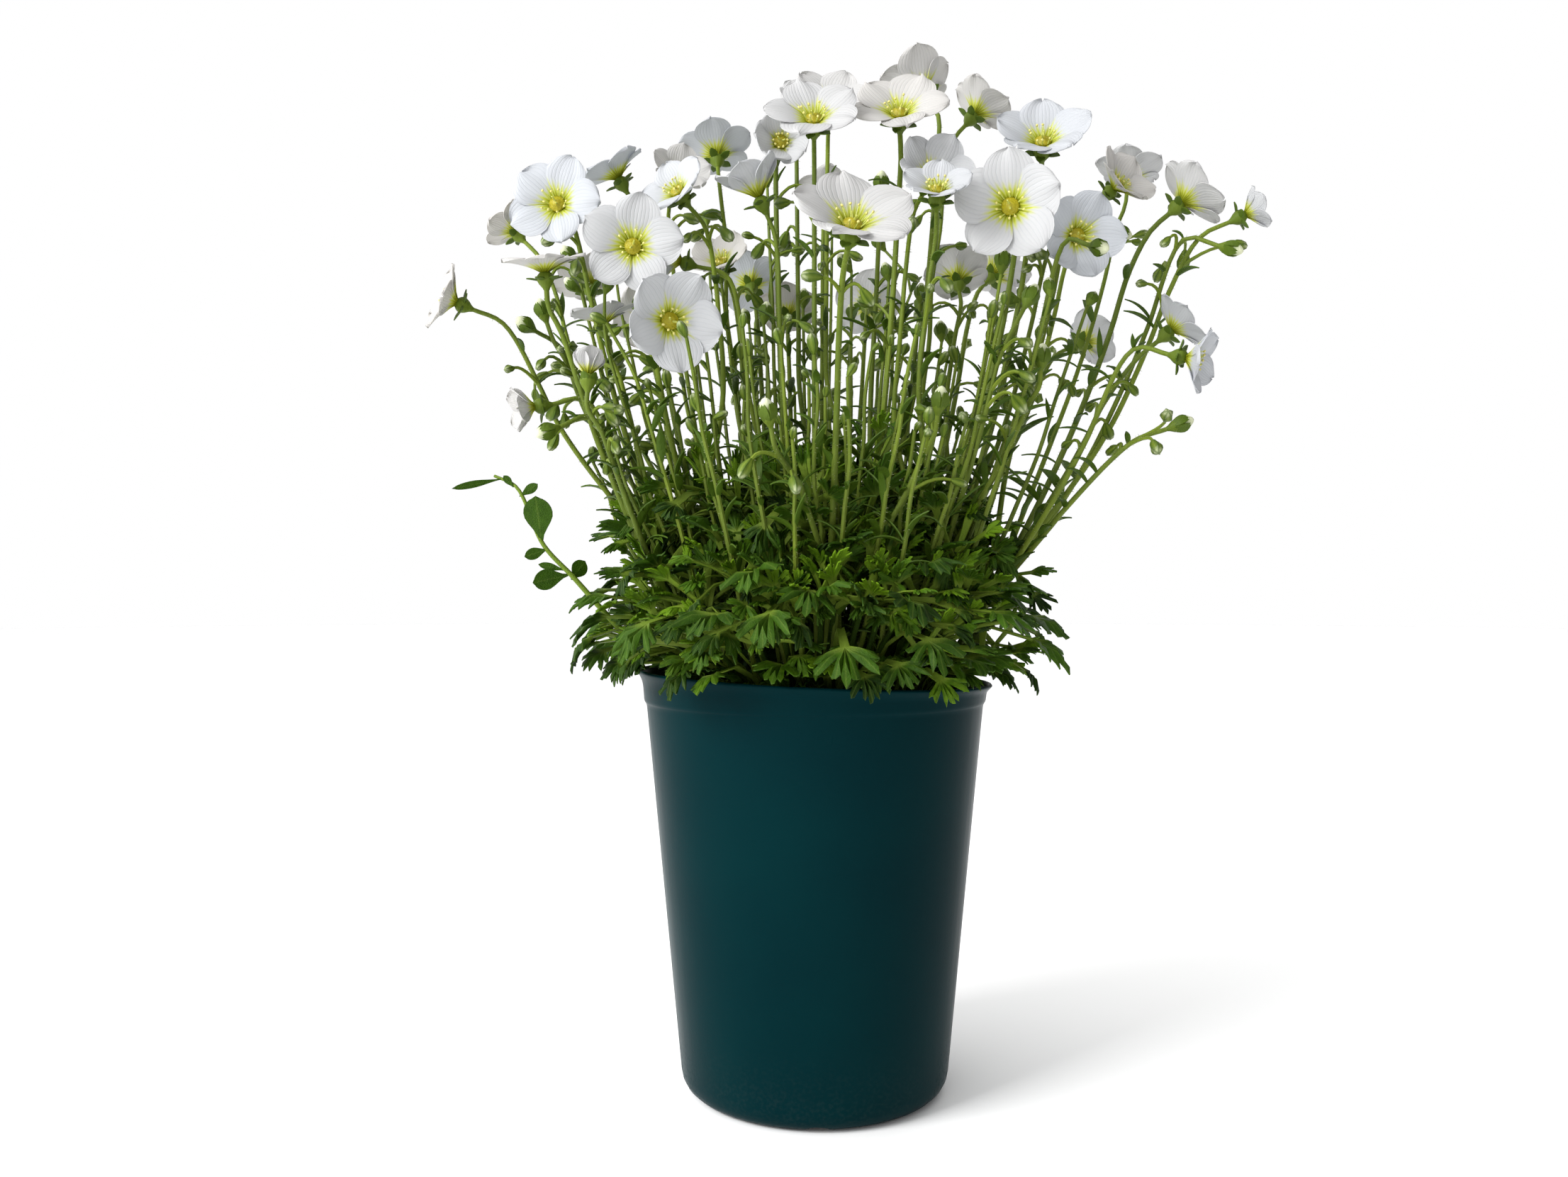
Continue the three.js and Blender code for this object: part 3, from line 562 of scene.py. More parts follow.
def lobed_faces():
    """The faces of a lobed leaf. Its points are the rows of the stalk, left, middle and right, and
    then for the teeth from right to left their roots, tips, right shoulders, left shoulders and
    the notches between them."""
    teeth = len(TOOTH_BEARINGS)
    base = 3 * (STALK_ROWS - 1)
    root, tip, right, left, notch = (3 * STALK_ROWS + i * teeth for i in range(5))
    faces = [[3 * row + i, 3 * row + i + 1, 3 * row + i + 4, 3 * row + i + 3]
             for row in range(STALK_ROWS - 1) for i in (0, 1)]
    rim = [3 * row + 2 for row in range(STALK_ROWS)]
    for i in range(teeth):
        before = notch + i - 1 if i else base + 2
        after = notch + i if i < teeth - 1 else base
        faces += [[base + 1, before, root + i, -1], [base + 1, root + i, after, -1],
                  [root + i, before, right + i, tip + i], [root + i, tip + i, left + i, after]]
        rim += [right + i, tip + i, left + i, after]
    rim += [3 * row for row in range(STALK_ROWS - 2, -1, -1)] + [1]
    return sheet_faces(faces, rim, 3 * STALK_ROWS + 5 * teeth - 1)


def lobed_leaves(leaves):
    """Lobed leaves as closed blades. On the flat, a tooth at a bearing and a reach lies reach times
    the blade's length from the end of the stalk. The flat leaf is then laid along its arc, cupped
    or domed, with each lobe pillowed and its tip turned down."""
    blade = (leaves["length"] * leaves["blade"])[:, None]
    stalk = leaves["length"][:, None] - blade
    rows = np.linspace(0, 1, STALK_ROWS)
    half = 0.85 + 0.55 * rows**2
    along_stalk = stalk * np.repeat(rows, 3)
    across_stalk = np.outer(half, [1, 0, -1]).ravel() * np.ones_like(stalk)
    bearing = np.concatenate([TOOTH_BEARINGS, TOOTH_BEARINGS, TOOTH_BEARINGS - TOOTH_HALF_WIDTH,
                              TOOTH_BEARINGS + TOOTH_HALF_WIDTH, NOTCH_BEARINGS])
    tips = TOOTH_REACH * np.ones_like(blade)
    shoulders = tips * TOOTH_SHOULDER
    notch = NOTCH_REACH * leaves["notch"][:, None]
    reach = np.concatenate([tips * TOOTH_ROOT, tips, shoulders, shoulders, notch], 1)
    reach = reach * (1 + 0.2 * (chance.random(reach.shape) - 0.5))
    swung = 5 * (chance.random(blade.shape) - 0.5)
    turned = np.radians((bearing + swung) * leaves["spread"][:, None])
    x = np.concatenate([along_stalk, stalk + blade * reach * np.cos(turned)], 1)
    y = np.concatenate([across_stalk, blade * reach * np.sin(turned)], 1)

    teeth = len(TOOTH_BEARINGS)
    vein = np.concatenate([np.tile([0, 1, 0], STALK_ROWS), np.ones(2 * teeth),
                           np.zeros(3 * teeth - 1)])
    pillow = np.concatenate([np.tile([0, -0.5, 0], STALK_ROWS), np.ones(teeth),
                             np.full(teeth, -0.8), np.full(3 * teeth - 1, -0.2)])
    beyond = np.clip((x - stalk) / blade, 0, 1)
    swing = 3.3 * np.arctan2(y, np.maximum(x - stalk, 0.1)) + leaves["phase"][:, None]
    lift = blade * (PILLOW * pillow - leaves["curl"][:, None] * beyond**2
                    + leaves["wave"][:, None] * np.cos(swing) * beyond)
    lift += leaves["cup"][:, None] * y**2

    at, _, side, out = leaf_lines(leaves, x / leaves["length"][:, None])
    middle = at + side * y[..., None]
    points = [middle + out * (lift + i * LEAF_THICKNESS / 2)[..., None] for i in (1, -1)]
    shape = repeated(np.concatenate(points, 1), lobed_faces())
    marks = np.stack([leaves["age"][:, None] + 0 * x, vein + 0 * x, 1 - beyond], -1)
    return (*shape, np.concatenate([marks, marks], 1).reshape(-1, 3))


order = np.arange(LONG_LEAVES)
toward = order * GOLDEN_ANGLE
up, out = over_dome(order, LONG_LEAVES)
draw = seeded_draws(41, 5 * LONG_LEAVES).reshape(-1, 5)
long_leaves = cleared_of_rim({
    "root": facing(90, toward) * ((CORE_RADIUS - LEAF_ROOT_INSET) * out)[:, None]
    + np.outer(MIX_TOP + LOWEST_LEAF_ROOT + LEAF_ROOT_RISE * up, UP),
    "azimuth": toward + 16 * (draw[:, 0] - 0.5),
    "start": LEAF_START_SLOPE - LEAF_START_DROP * out + 14 * (draw[:, 1] - 0.5),
    "end": LEAF_END_SLOPE - LEAF_END_DROP * out**3 + 44 * (draw[:, 2] - 0.5),
    "length": (LONG_LEAF_LENGTH + OUTER_LEAF_EXTRA * out) * (0.88 + 0.24 * draw[:, 3]),
    "roll": 0.7 * (draw[:, 4] - 0.5),
    "blade": 0.29 - 0.05 * out,
    "spread": chance.uniform(0.8, 1.1, LONG_LEAVES),
    **leaf_form(LONG_LEAVES, curl=(-0.15, 0.25), cup=(-0.012, 0.022), wave=(0.04, 0.12)),
    "age": 0.35 + 0.5 * out * chance.random(LONG_LEAVES),
}, both=0)

rosette = np.repeat(np.arange(ROSETTES), ROSETTE_LEAVES)
place = np.tile(np.arange(ROSETTE_LEAVES), ROSETTES)
count = ROSETTES * ROSETTE_LEAVES
up, out = over_dome(rosette, ROSETTES)
rosette_toward = rosette * GOLDEN_ANGLE + 30
raised_by = (chance.random(ROSETTES) ** 2)[rosette]
axis = facing((ROSETTE_LEAN - RAISED_UPRIGHT * raised_by) * out, rosette_toward)
centre = facing(90, rosette_toward) * ((ROSETTE_REACH - RAISED_INWARD * raised_by) * out)[:, None]
rosette_height = (MIX_TOP + LOWEST_ROSETTE + ROSETTE_RISE * up**1.1
                  + (RAISED_HEIGHT + RAISED_OUTER_HEIGHT * out) * raised_by)
centre = centre + np.outer(rosette_height, UP)
level = facing(90, rosette_toward + 90)
tilt = FIRST_LEAF_TILT + LEAF_TILT_STEP * place + 16 * chance.random(count)
tilt = np.radians(tilt)[:, None]
round_axis = place * GOLDEN_ANGLE + 90 * rosette + 30 * chance.random(count)
round_axis = np.radians(round_axis)[:, None]
aside = np.cos(round_axis) * level + np.sin(round_axis) * np.cross(axis, level)
ray = np.cos(tilt) * axis + np.sin(tilt) * aside
slope = np.degrees(np.arcsin(ray[:, 2]))
# A leaf on the low side of its rosette leaves it level and hangs over, so that its face still shows
hanging = smooth((LEVEL_LEAF_SLOPE - slope) / 30)
slope = np.maximum(slope, 6 + 14 * hanging)
length = FIRST_LEAF_LENGTH + LEAF_LENGTH_STEP * place + chance.uniform(0, 8, count)
blade = FIRST_BLADE_LENGTH + BLADE_LENGTH_STEP * place
rosette_leaves = cleared_of_rim({
    "root": centre + axis * place[:, None] * -0.7,
    "azimuth": np.degrees(np.arctan2(ray[:, 1], ray[:, 0])),
    "start": slope,
    "end": slope + 16 - chance.random(count) * (18 + 10 * place)
    - hanging * chance.uniform(20, 62, count),
    "length": length,
    "roll": chance.uniform(-0.8, 0.8, count),
    "blade": (blade + chance.uniform(-1, 1.6, count)) / length,
    "spread": np.where(chance.random(count) < FOLDED_SHARE, FOLDED_SPREAD,
                       chance.uniform(0.65, 1.15, count)),
    **leaf_form(count, curl=(-0.15, 0.35), cup=(-0.02, 0.03), wave=(0.03, 0.13)),
    "age": np.clip(0.12 * place + chance.uniform(-0.15, 0.25, count), 0, 1),
}, both=1)

count = LOW_LEAVES
toward = np.arange(count) * GOLDEN_ANGLE + 50
over_lip = chance.random(count) < OVER_LIP_SHARE
length = np.where(over_lip, chance.uniform(36, 46, count), chance.uniform(17, 27, count))
low_leaves = cleared_of_rim({
    "root": facing(90, toward) * LOW_LEAF_RING
    + np.outer(MIX_TOP + chance.uniform(4, 12, count), UP),
    "azimuth": toward + chance.uniform(-34, 34, count),
    "start": np.where(over_lip, chance.uniform(58, 80, count), chance.uniform(30, 75, count)),
    "end": np.where(over_lip, -chance.uniform(25, 80, count), chance.uniform(-30, 50, count)),
    "length": length,
    "roll": chance.uniform(-0.6, 0.6, count),
    "blade": chance.uniform(9, 12.5, count) / length,
    "spread": chance.uniform(0.75, 1.15, count),
    **leaf_form(count, curl=(-0.15, 0.3), cup=(-0.02, 0.03), wave=(0.03, 0.12)),
    "age": chance.uniform(0.1, 0.9, count),
}, both=1)


def tube(path, radii, square_to, sides):
    """A closed tube: a ring of each radius, square to the path. The path never runs along
    square_to."""
    along = unit(np.gradient(path, axis=0))
    side = unit(np.cross(square_to, along))
    turn = np.arange(sides)[:, None] * 2 * np.pi / sides
    ring = np.cos(turn) * side[:, None] + np.sin(turn) * np.cross(along, side)[:, None]
    rings = path[:, None] + np.reshape(radii, (-1, 1, 1)) * ring
    return closed_rings(rings, path[0], path[-1])


def rosette_stalks():
    """The stalk of each rosette: a curve from the crown that comes up to the rosette along its
    axis."""
    t = np.linspace(0, 1, 8)[:, None]
    stalks = []
    for i in range(0, len(centre), ROSETTE_LEAVES):
        end = centre[i]
        foot = end * [0.55, 0.55, 0] + [0, 0, MIX_TOP + 6]
        bend = end - axis[i] * 0.5 * np.linalg.norm(end - foot)
        square_to = facing(90, rosette_toward[i] + 90)
        stalk = tube(curve(foot, bend, end, t), np.linspace(1.1, 0.8, 8), square_to, 6)
        # The stalks are marked old deep green, with only a trace of the pale stalk colour: painted
        # shade for the dark gaps among the rosettes
        stalks.append((*stalk, (1.0, 0, 0.8)))
    return stalks


mound_profile = [(0, -12), (29, -12), (30, 0), (40, 3), (41, 9), (34, 20), (20, 28), (0, 31)]
mound_profile = eased_corners([(radius, MIX_TOP + z, 6) for radius, z in mound_profile], 5)
mound_points, mound_faces = revolved(mound_profile, 90)
above_mix = mound_points[:, 2:] > MIX_TOP + 1
mound_points += 1.3 * chance.normal(size=mound_points.shape) * above_mix

YOUNG_GREEN = rgb(110, 147, 24)
FULL_GREEN = rgb(63, 98, 13)
OLD_GREEN = rgb(29, 55, 5)
VEIN_GREEN = rgb(140, 164, 72)
STALK_GREEN = rgb(134, 156, 56)


def lit_through(tree, shader, colour, share):
    """Mixes in light that comes through from the far side, as in any thin living blade."""
    through = add_node(tree, "BsdfTranslucent", {"Color": colour})
    lit = {0: share, 1: shader.outputs[0], 2: through.outputs[0]}
    both = add_node(tree, "MixShader", lit)
    tree.links.new(both.outputs[0], tree.nodes["Material Output"].inputs["Surface"])


def leaf_finish():
    """Green leaf: the marks are its age, 0 young to 1 old, then 1 down the middle of a tooth, then
    1 at the foot of the stalk. Young leaves are yellow-green, old ones deep green. The veins and
    the stalk are paler."""
    material, tree, shader = new_finish("saxifrage leaf", {"Specular IOR Level": 0.16})
    age, vein, foot = growth_marks(tree)
    mottle = grain(tree, 420)
    older = calc(tree, "MULTIPLY_ADD", mottle, 0.5, calc(tree, "ADD", age, -0.25))
    colour = mixed(tree, eased(tree, older, 0.0, 0.35), YOUNG_GREEN, FULL_GREEN)
    colour = mixed(tree, eased(tree, older, 0.3, 0.95), colour, OLD_GREEN)
    paler = calc(tree, "MULTIPLY", calc(tree, "POWER", vein, 7.0), 0.22)
    colour = mixed(tree, paler, colour, VEIN_GREEN)
    on_stalk = calc(tree, "MULTIPLY", eased(tree, foot, 0.75, 1.0), 0.6)
    colour = mixed(tree, on_stalk, colour, STALK_GREEN)
    painted(tree, shader, colour, calc(tree, "MULTIPLY_ADD", mottle, 0.2, 0.38))
    raised(tree, shader, calc(tree, "ADD", mottle, grain(tree, 2600, 2)), 0.00025)
    lit_through(tree, shader, colour, 0.28)
    return material


green_leaf = leaf_finish()
cushion = add_object("long_leaves", [lobed_leaves(long_leaves), lobed_leaves(low_leaves)])
finish_piece(cushion, green_leaf, "leaf_cushion", crease=60)
filling = add_object("rosette_leaves", [lobed_leaves(rosette_leaves), *rosette_stalks()])
finish_piece(filling, green_leaf, crease=60)
mound = add_object("crown", [(mound_points, mound_faces, (1.2, 0, 0))])
finish_piece(mound, green_leaf)

# The flower sprays
# Each spray is one forked green stem, finely hairy, with narrow leaves and small nodding buds, and
# under every flower a green cup with five pointed sepals. It is rooted in the crown of the plant.

FOOT_HEIGHT = 133.0
FAN_HEIGHT = 300.0
FAN_GROWTH = 1.25
FAN_FLARE = 4.6e-4
FORK_SPACING = 7.0
FORK_LENGTH = 62.0
LEAST_NECK = 10.0
MOST_NECK = 26.0
NECK_PER_DEGREE = 0.22
BEND_CLEARANCE = 2.4
BEND_FADE = 14.0
BEND_RISE = 40.0
CALYX_LENGTH = 3.6
BUD_LENGTH = 5.4
PETAL_COUNT = 5
PETAL_STRETCH = 1.1
STEM_SIDES = 8
STEM_STEPS = 40
MAIN_STEM_RADII = (1.3, 0.85)
SIDE_STEM_RADII = (1.05, 0.75)
HAIRS_PER_MM = 1.3
HAIR_LENGTH = 0.75
HAIR_RADIUS = 0.075
# A flower less open than this holds its sepals up and hides its heart
JUST_OPEN = 0.3

# Each spray: the height of its first fork, and its heads. A head's x, y and z are the top of its
# cup, then come the half-width of the open flower, or 0 for a bud, its lean from upright, its
# bearing, and how far it is open.
SPRAYS = [
    (168, [(-85, -15, 296, 16.5, 82, 262, 0.95), (-118, -15, 264, 12.5, 70, 205, 0.8),
           (-93, -2, 264, 0, 20, 180, 0), (-97, -9, 258, 0, 70, 230, 0)]),
    (160, [(-86, -36, 268, 14, 12, 250, 0.95), (-89, -30, 228, 10, 100, 200, 0.5),
           (-84, -40, 219, 0, 110, 215, 0), (-71, -46, 234, 9, 10, 90, 0.2),
           (-70, -16, 256, 12, 10, 200, 0.9)]),
    (172, [(-58.5, -32, 278, 16.5, 92, 272, 0.95), (-46, -54, 250, 16.5, 95, 292, 0.8),
           (-44, -20, 298, 13, 60, 235, 0.85)]),
    (165, [(-69, 18, 315, 14, 32, 190, 0.9), (-108, 28, 299, 11, 45, 160, 0.8),
           (-84, 46, 283, 14, 35, 120, 0.8), (-50, 34, 320, 13, 62, 290, 0.7)]),
    (158, [(8, -84, 268, 18.5, 47, 280, 0.85), (-1, -34, 316, 16, 52, 268, 0.9),
           (-15, -76, 219, 0, 25, 240, 0), (36, -58, 225, 0, 15, 300, 0)]),
    (175, [(-12, -2, 321, 13, 88, 275, 0.5), (-18, -22, 296, 15, 25, 200, 0.45),
           (-45, 6, 283, 12, 75, 190, 0.7), (-36, 48, 333, 15, 30, 100, 0.9),
           (-33, 34, 288, 13, 50, 250, 0.8)]),
    (178, [(27, -25, 321, 16.5, 50, 262, 0.9), (38.5, 4, 340, 16, 40, 120, 0.7),
           (5.5, 17, 340, 15, 50, 270, 0.8), (-6, 31, 343, 12, 5, 90, 0.1),
           (23, 0, 308, 0, 20, 270, 0)]),
    (166, [(60, -45, 287, 17.5, 95, 252, 0.9), (36, -28, 300, 15, 66, 285, 0.7),
           (36, -52, 288, 12, 45, 265, 0.8), (66, -42, 260, 0, 30, 20, 0),
           (71, -36, 242, 0, 5, 0, 0)]),
    (170, [(76, -12, 316, 17, 52, 262, 0.8), (86, -12, 287, 16, 95, 285, 0.8),
           (106, 16, 311, 14, 60, 310, 0.7), (88, -38, 277, 0, 110, 300, 0),
           (58, 26, 341, 14, 40, 20, 0.8), (54, 34, 282, 14, 40, 90, 0.8)]),
    (156, [(125, 0, 301, 15, 48, 5, 0.8), (119, 42, 322, 14, 22, 60, 0.8),
           (145, -5, 296, 9.5, 65, 350, 0.6), (139, -10, 284, 0, 110, 330, 0),
           (106, 6, 294, 0, 110, 0, 0), (115, -22, 253, 12, 50, 0, 0.8),
           (114, -40, 242, 12, 105, 330, 0.7), (116, -30, 222, 0, 70, 350, 0)]),
    (164, [(-24, 82, 292, 15, 55, 100, 0.9), (-9, 56, 274, 13, 45, 90, 0.8),
           (-64, 78, 278, 15, 60, 130, 0.9), (6, 62, 320, 14, 35, 80, 0.9)]),
    (160, [(72, 72, 294, 15, 50, 50, 0.85), (24, 90, 286, 15.5, 70, 85, 0.9),
           (104, 54, 264, 13, 65, 30, 0.8)]),
]


def petal_arc(head, t):
    """How far out and up a petal has come at the share t of its length, and its lean there: the
    lean from the flower's axis grows evenly from its foot to its tip."""
    foot = np.radians(22 + 26 * head["open"])
    tip = np.radians(4 + 92 * head["open"])
    lean = foot + (tip - foot) * t
    k = PETAL_STRETCH * head["half_width"] / (tip - foot)
    return k * (np.cos(foot) - np.cos(lean)), k * (np.sin(lean) - np.sin(foot)), lean


def turned_up(normal):
    """The matrix that turns +Z to the normal by the shortest way."""
    x, y, z = normal
    k = 1 / (1 + z)
    return np.array([[1 - k * x * x, -k * x * y, x], [-k * x * y, 1 - k * y * y, y], [-x, -y, z]])


def new_head(spray, x, y, z, half_width, lean, toward, open_share):
    """A flower or bud with its seat, its axis, the turn that sets it upright on that axis, and how
    far its petals reach out from it."""
    head = {"spray": spray, "seat": np.array([x, y, z], float), "half_width": half_width,
            "lean": lean, "open": open_share, "normal": facing(lean, toward), "scale": 1.0}
    head["turn"] = turned_up(head["normal"])
    head["span"] = petal_arc(head, 1)[0]
    return head


heads = [new_head(i, *row) for i, (_, rows) in enumerate(SPRAYS) for row in rows]
flowers = [head for head in heads if head["half_width"]]


def spread_radius(foot, z):
    """How far out a stem of the fan has come at the height z: its foot's radius times 1 + share
    (growth + flare foot^2). The share rises in a parabola to the fan's height, then evenly."""
    rise = np.maximum(0, (z - FOOT_HEIGHT) / (FAN_HEIGHT - FOOT_HEIGHT))
    share = np.where(rise < 1, 1.5 * rise - 0.5 * rise * rise, 0.5 + 0.5 * rise)
    return foot * (1 + share * (FAN_GROWTH + FAN_FLARE * foot * foot))


def foot_under(point):
    """The foot, on the level, of the stem whose line passes through a point. Found by halving."""
    low, high = 0.0, POT_RIM_RADIUS
    for _ in range(30):
        middle = (low + high) / 2
        short = spread_radius(middle, point[2]) < np.hypot(*point[:2])
        low, high = (middle, high) if short else (low, middle)
    return unit(point[:2]) * low


def fan_points(foot, z):
    """The points at the heights z of the stem with this foot, straight out from the middle."""
    out = spread_radius(np.hypot(*foot), z) / np.hypot(*foot)
    return np.stack([foot[0] * out, foot[1] * out, z], -1)


def bent_clear(points, own):
    """Points of a stem that would run through another flower, pushed aside round it in three
    passes. A push goes straight out from the flower's axis to just past its petals, and fades
    with the distance above and below them."""
    points = points.copy()
    for other in [head for head in flowers if head is not own] * 3:
        off = points - other["seat"]
        above = off @ other["normal"]
        off -= above[:, None] * other["normal"]
        beyond = np.abs(above - 0.18 * other["half_width"]) - 0.3 * other["half_width"] - 1
        reach = other["span"] + BEND_CLEARANCE - np.linalg.norm(off, axis=1)
        push = np.maximum(0, reach * (1 - smooth(beyond / BEND_FADE)))
        points += unit(off) * push[:, None]
    return points


def stem_route(head, order, first_fork, main_foot):
    """The points of a stem from its foot, or its fork on the main stem, up its own line of the fan
    to its head, and the main stem's foot. A side stem leaves the main one in a quarter sine."""
    neck = min(MOST_NECK, LEAST_NECK + NECK_PER_DEGREE * head["lean"])
    base = head["seat"] - CALYX_LENGTH * head["normal"]
    behind = base - 0.6 * neck * head["normal"]
    top = min(base[2] - neck, behind[2] - 0.4 * neck)
    own = foot_under(np.array([*behind[:2], base[2]]))
    main = own if main_foot is None else main_foot
    fork = first_fork + FORK_SPACING * (order % 3)
    if order:
        z = np.linspace(fork, top, 8)
        share = np.sin(np.pi / 2 * np.clip((z - fork) / FORK_LENGTH, None, 1))[:, None]
    else:
        z = np.linspace(FOOT_HEIGHT, top, 8)
        share = np.ones((8, 1))
    points = fan_points(main, z) * (1 - share) + fan_points(own, z) * share
    bend = smooth((z - fork) / BEND_RISE)[:, None]
    points = points * (1 - bend) + bent_clear(points, head) * bend
    return np.vstack([points, base - 0.45 * neck * head["normal"], base]), main


def smooth_route(points, steps):
    """A smooth curve through the points, at even steps of its length, and that length. Between two
    points it is a cubic, whose direction at each of them comes from the lines to the points next
    to it, weighed by the square roots of their lengths."""
    ends = np.vstack([2 * points[0] - points[1], points, 2 * points[-1] - points[-2]])
    spans = np.linalg.norm(np.diff(ends, axis=0), axis=1, keepdims=True) ** 0.5
    before, here, after = spans[:-2], spans[1:-1], spans[2:]
    p0, p1, p2, p3 = ends[:-3], ends[1:-2], ends[2:-1], ends[3:]
    leave = ((p1 - p0) / before - (p2 - p0) / (before + here) + (p2 - p1) / here) * here
    arrive = ((p2 - p1) / here - (p3 - p1) / (here + after) + (p3 - p2) / after) * here
    t = np.linspace(0, 1, 16, endpoint=False)[:, None]
    fine = ((2 * t**3 - 3 * t**2 + 1) * p1[:, None] + (t**3 - 2 * t**2 + t) * leave[:, None]
            + (3 * t**2 - 2 * t**3) * p2[:, None] + (t**3 - t**2) * arrive[:, None])
    fine = np.vstack([fine.reshape(-1, 3), points[-1]])
    gone = np.concatenate([[0], np.cumsum(np.linalg.norm(np.diff(fine, axis=0), axis=1))])
    even = np.linspace(0, gone[-1], steps)
    return np.stack([np.interp(even, gone, fine[:, i]) for i in range(3)], -1), gone[-1]


def grid_faces(rows, columns):
    """The faces of a thin closed blade whose points are a grid, from its foot to its tip and from
    left to right."""
    grid = np.arange(rows * columns).reshape(rows, columns)
    upper = np.stack([grid[:-1, :-1], grid[:-1, 1:], grid[1:, 1:], grid[1:, :-1]], -1)
    rim = np.concatenate([grid[:, -1], grid[-1, -2::-1], grid[-2::-1, 0], grid[0, 1:-1]])
    return sheet_faces(upper.reshape(-1, 4), rim, rows * columns)


def clear_of_flowers(points):
    """Whether each of some points is outside every flower, taken as a short drum round its own
    axis."""
    clear = np.ones(len(points), bool)
    for head in flowers:
        off = points - head["seat"]
        above = off @ head["normal"]
        aside = np.linalg.norm(off - above[:, None] * head["normal"], axis=1)
        out_of_reach = (above < -2.5) | (above > 0.75 * head["half_width"] + 4)
        clear &= (aside > head["span"] + 2) | out_of_reach
    return clear


def strap_leaves(leaves, rows=8):
    """Narrow leaves, pointed at both ends and folded along the middle, as closed blades along
    their arcs."""
    t = np.linspace(0, 0.98, rows)
    half = leaves["half_width"][:, None] * (0.3 + 0.7 * np.sin(np.pi * t**0.85)) * (1 - t**6)
    at, _, side, out = leaf_lines(leaves, t[None] + 0 * half)
    across = np.array([1, 0, -1])
    middle = at[:, :, None] + side[:, :, None] * (half[..., None] * across)[..., None]
    fold = (0.35 * half[..., None] * np.abs(across))[..., None] * out[:, :, None]
    edges = [middle + fold + i * 0.2 * out[:, :, None] for i in (1, -1)]
    points = np.concatenate([edge.reshape(len(half), -1, 3) for edge in edges], 1)
    return repeated(points, grid_faces(rows, 3))


def sepal(foot, tip, bulge, half_width):
    """A pointed sepal that runs outward along +X from its foot to its tip, each (radius, height),
    and bulges in half a sine."""
    t = np.linspace(0, 0.97, 6)[:, None]
    run = np.array(foot) * (1 - t) + np.array(tip) * t
    run[:, 0] += bulge * np.sin(np.pi * t[:, 0])
    half = half_width * np.sin(np.pi * (0.25 + 0.75 * t))
    across = np.array([1, 0, -1]) * half
    hollow = 0.25 * np.abs(across)
    points = np.stack([run[:, :1] + 0 * across, across, run[:, 1:] + hollow], -1)
    lower = points - ([0.35, 0, 0.1] if bulge else [0, 0, 0.35])
    return outward(np.vstack([points.reshape(-1, 3), lower.reshape(-1, 3)]), grid_faces(6, 3))


CUP_OUTLINE = np.array([(0, -4.4), (0.8, -4.3), (1.2, -3.4), (2.1, -2.2), (2.7, -1.0),
                        (2.8, -0.2), (2.4, 0.7), (1.5, 1.6), (0, 1.7)])
BUD_OUTLINE = np.array([(0, -4.0), (0.7, -3.9), (1.1, -2.9), (1.9, -1.6), (2.4, 0.2),
                        (2.35, 1.8), (1.8, 3.6), (0.9, 4.8), (0, BUD_LENGTH - 0.2)])


def cup_and_sepals(head, spin):
    """The green cup under a flower and its five sepals, or a whole closed bud, as two parts of the
    spray. The white petals show at the tip of the bud."""
    turns = head["turn"] @ spun(spin + 36 + 72 * np.arange(PETAL_COUNT))
    seats = np.repeat(head["seat"][None], PETAL_COUNT, 0)
    if head["half_width"]:
        size = 0.75 + 0.02 * head["half_width"]
        body = revolved(CUP_OUTLINE * [size, 1], 12)
        tip = (6.0 * size, 0.1) if head["open"] > JUST_OPEN else (3.7 * size, 1.8)
        blade = sepal((2.3 * size, -0.8), tip, 0.0, 1.45 * size)
        body_marks, blade_marks = (0.45, 0, 0), (0.8, 0, 0)
    else:
        size = head["scale"]
        body = revolved(BUD_OUTLINE * size, 12)
        blade = sepal((1.8 * size, -1.5 * size), (1.3 * size, 4.2 * size), size, 1.55 * size)
        white = smooth((body[0][:, 2] / size - 2.6) / 1.6)
        body_marks = np.stack([0.5 + 0 * white, 0 * white, white], -1)
        blade_marks = (0.75, 0, 0)
    return [(*placed(body, [head["turn"]], [head["seat"]]), body_marks),
            (*placed(blade, turns, seats), blade_marks)]


# A slender three-sided hair along +Z, with its foot just under the skin of the stem
hair_turn = np.arange(3) * 2 * np.pi / 3
hair = closed_rings(round_rings(HAIR_RADIUS, 0, hair_turn)[None],
                    [0, 0, -0.1 * HAIR_LENGTH], [0, 0, HAIR_LENGTH])


def hairy_stem(path, radii, square_to, sides, hairs):
    """A stem, with its own share of painted shade by chance, and its fine hairs, which stand square
    to it at random along it and round it."""
    stem = (*tube(path, radii, square_to, sides), (0.1, chance.random(), 0))
    at = chance.integers(2, len(path) - 1, hairs)
    share = chance.random((hairs, 1))
    along = unit(path[at + (at < len(path) - 1)] - path[at - 1])
    side = unit(np.cross(square_to, along))
    turn = chance.random((hairs, 1)) * 2 * np.pi
    ray = np.cos(turn) * side + np.sin(turn) * np.cross(along, side)
    places = path[at] * (1 - share) + path[at - 1] * share + ray * (radii[at, None] - 0.05)
    sizes = chance.uniform(0.6, 1.3, (hairs, 1, 1))
    turns = np.stack([np.cross(along, ray), along, ray], -1) * sizes
    return [stem, (*placed(hair, turns, places), (0.0, 0, 0.35))]


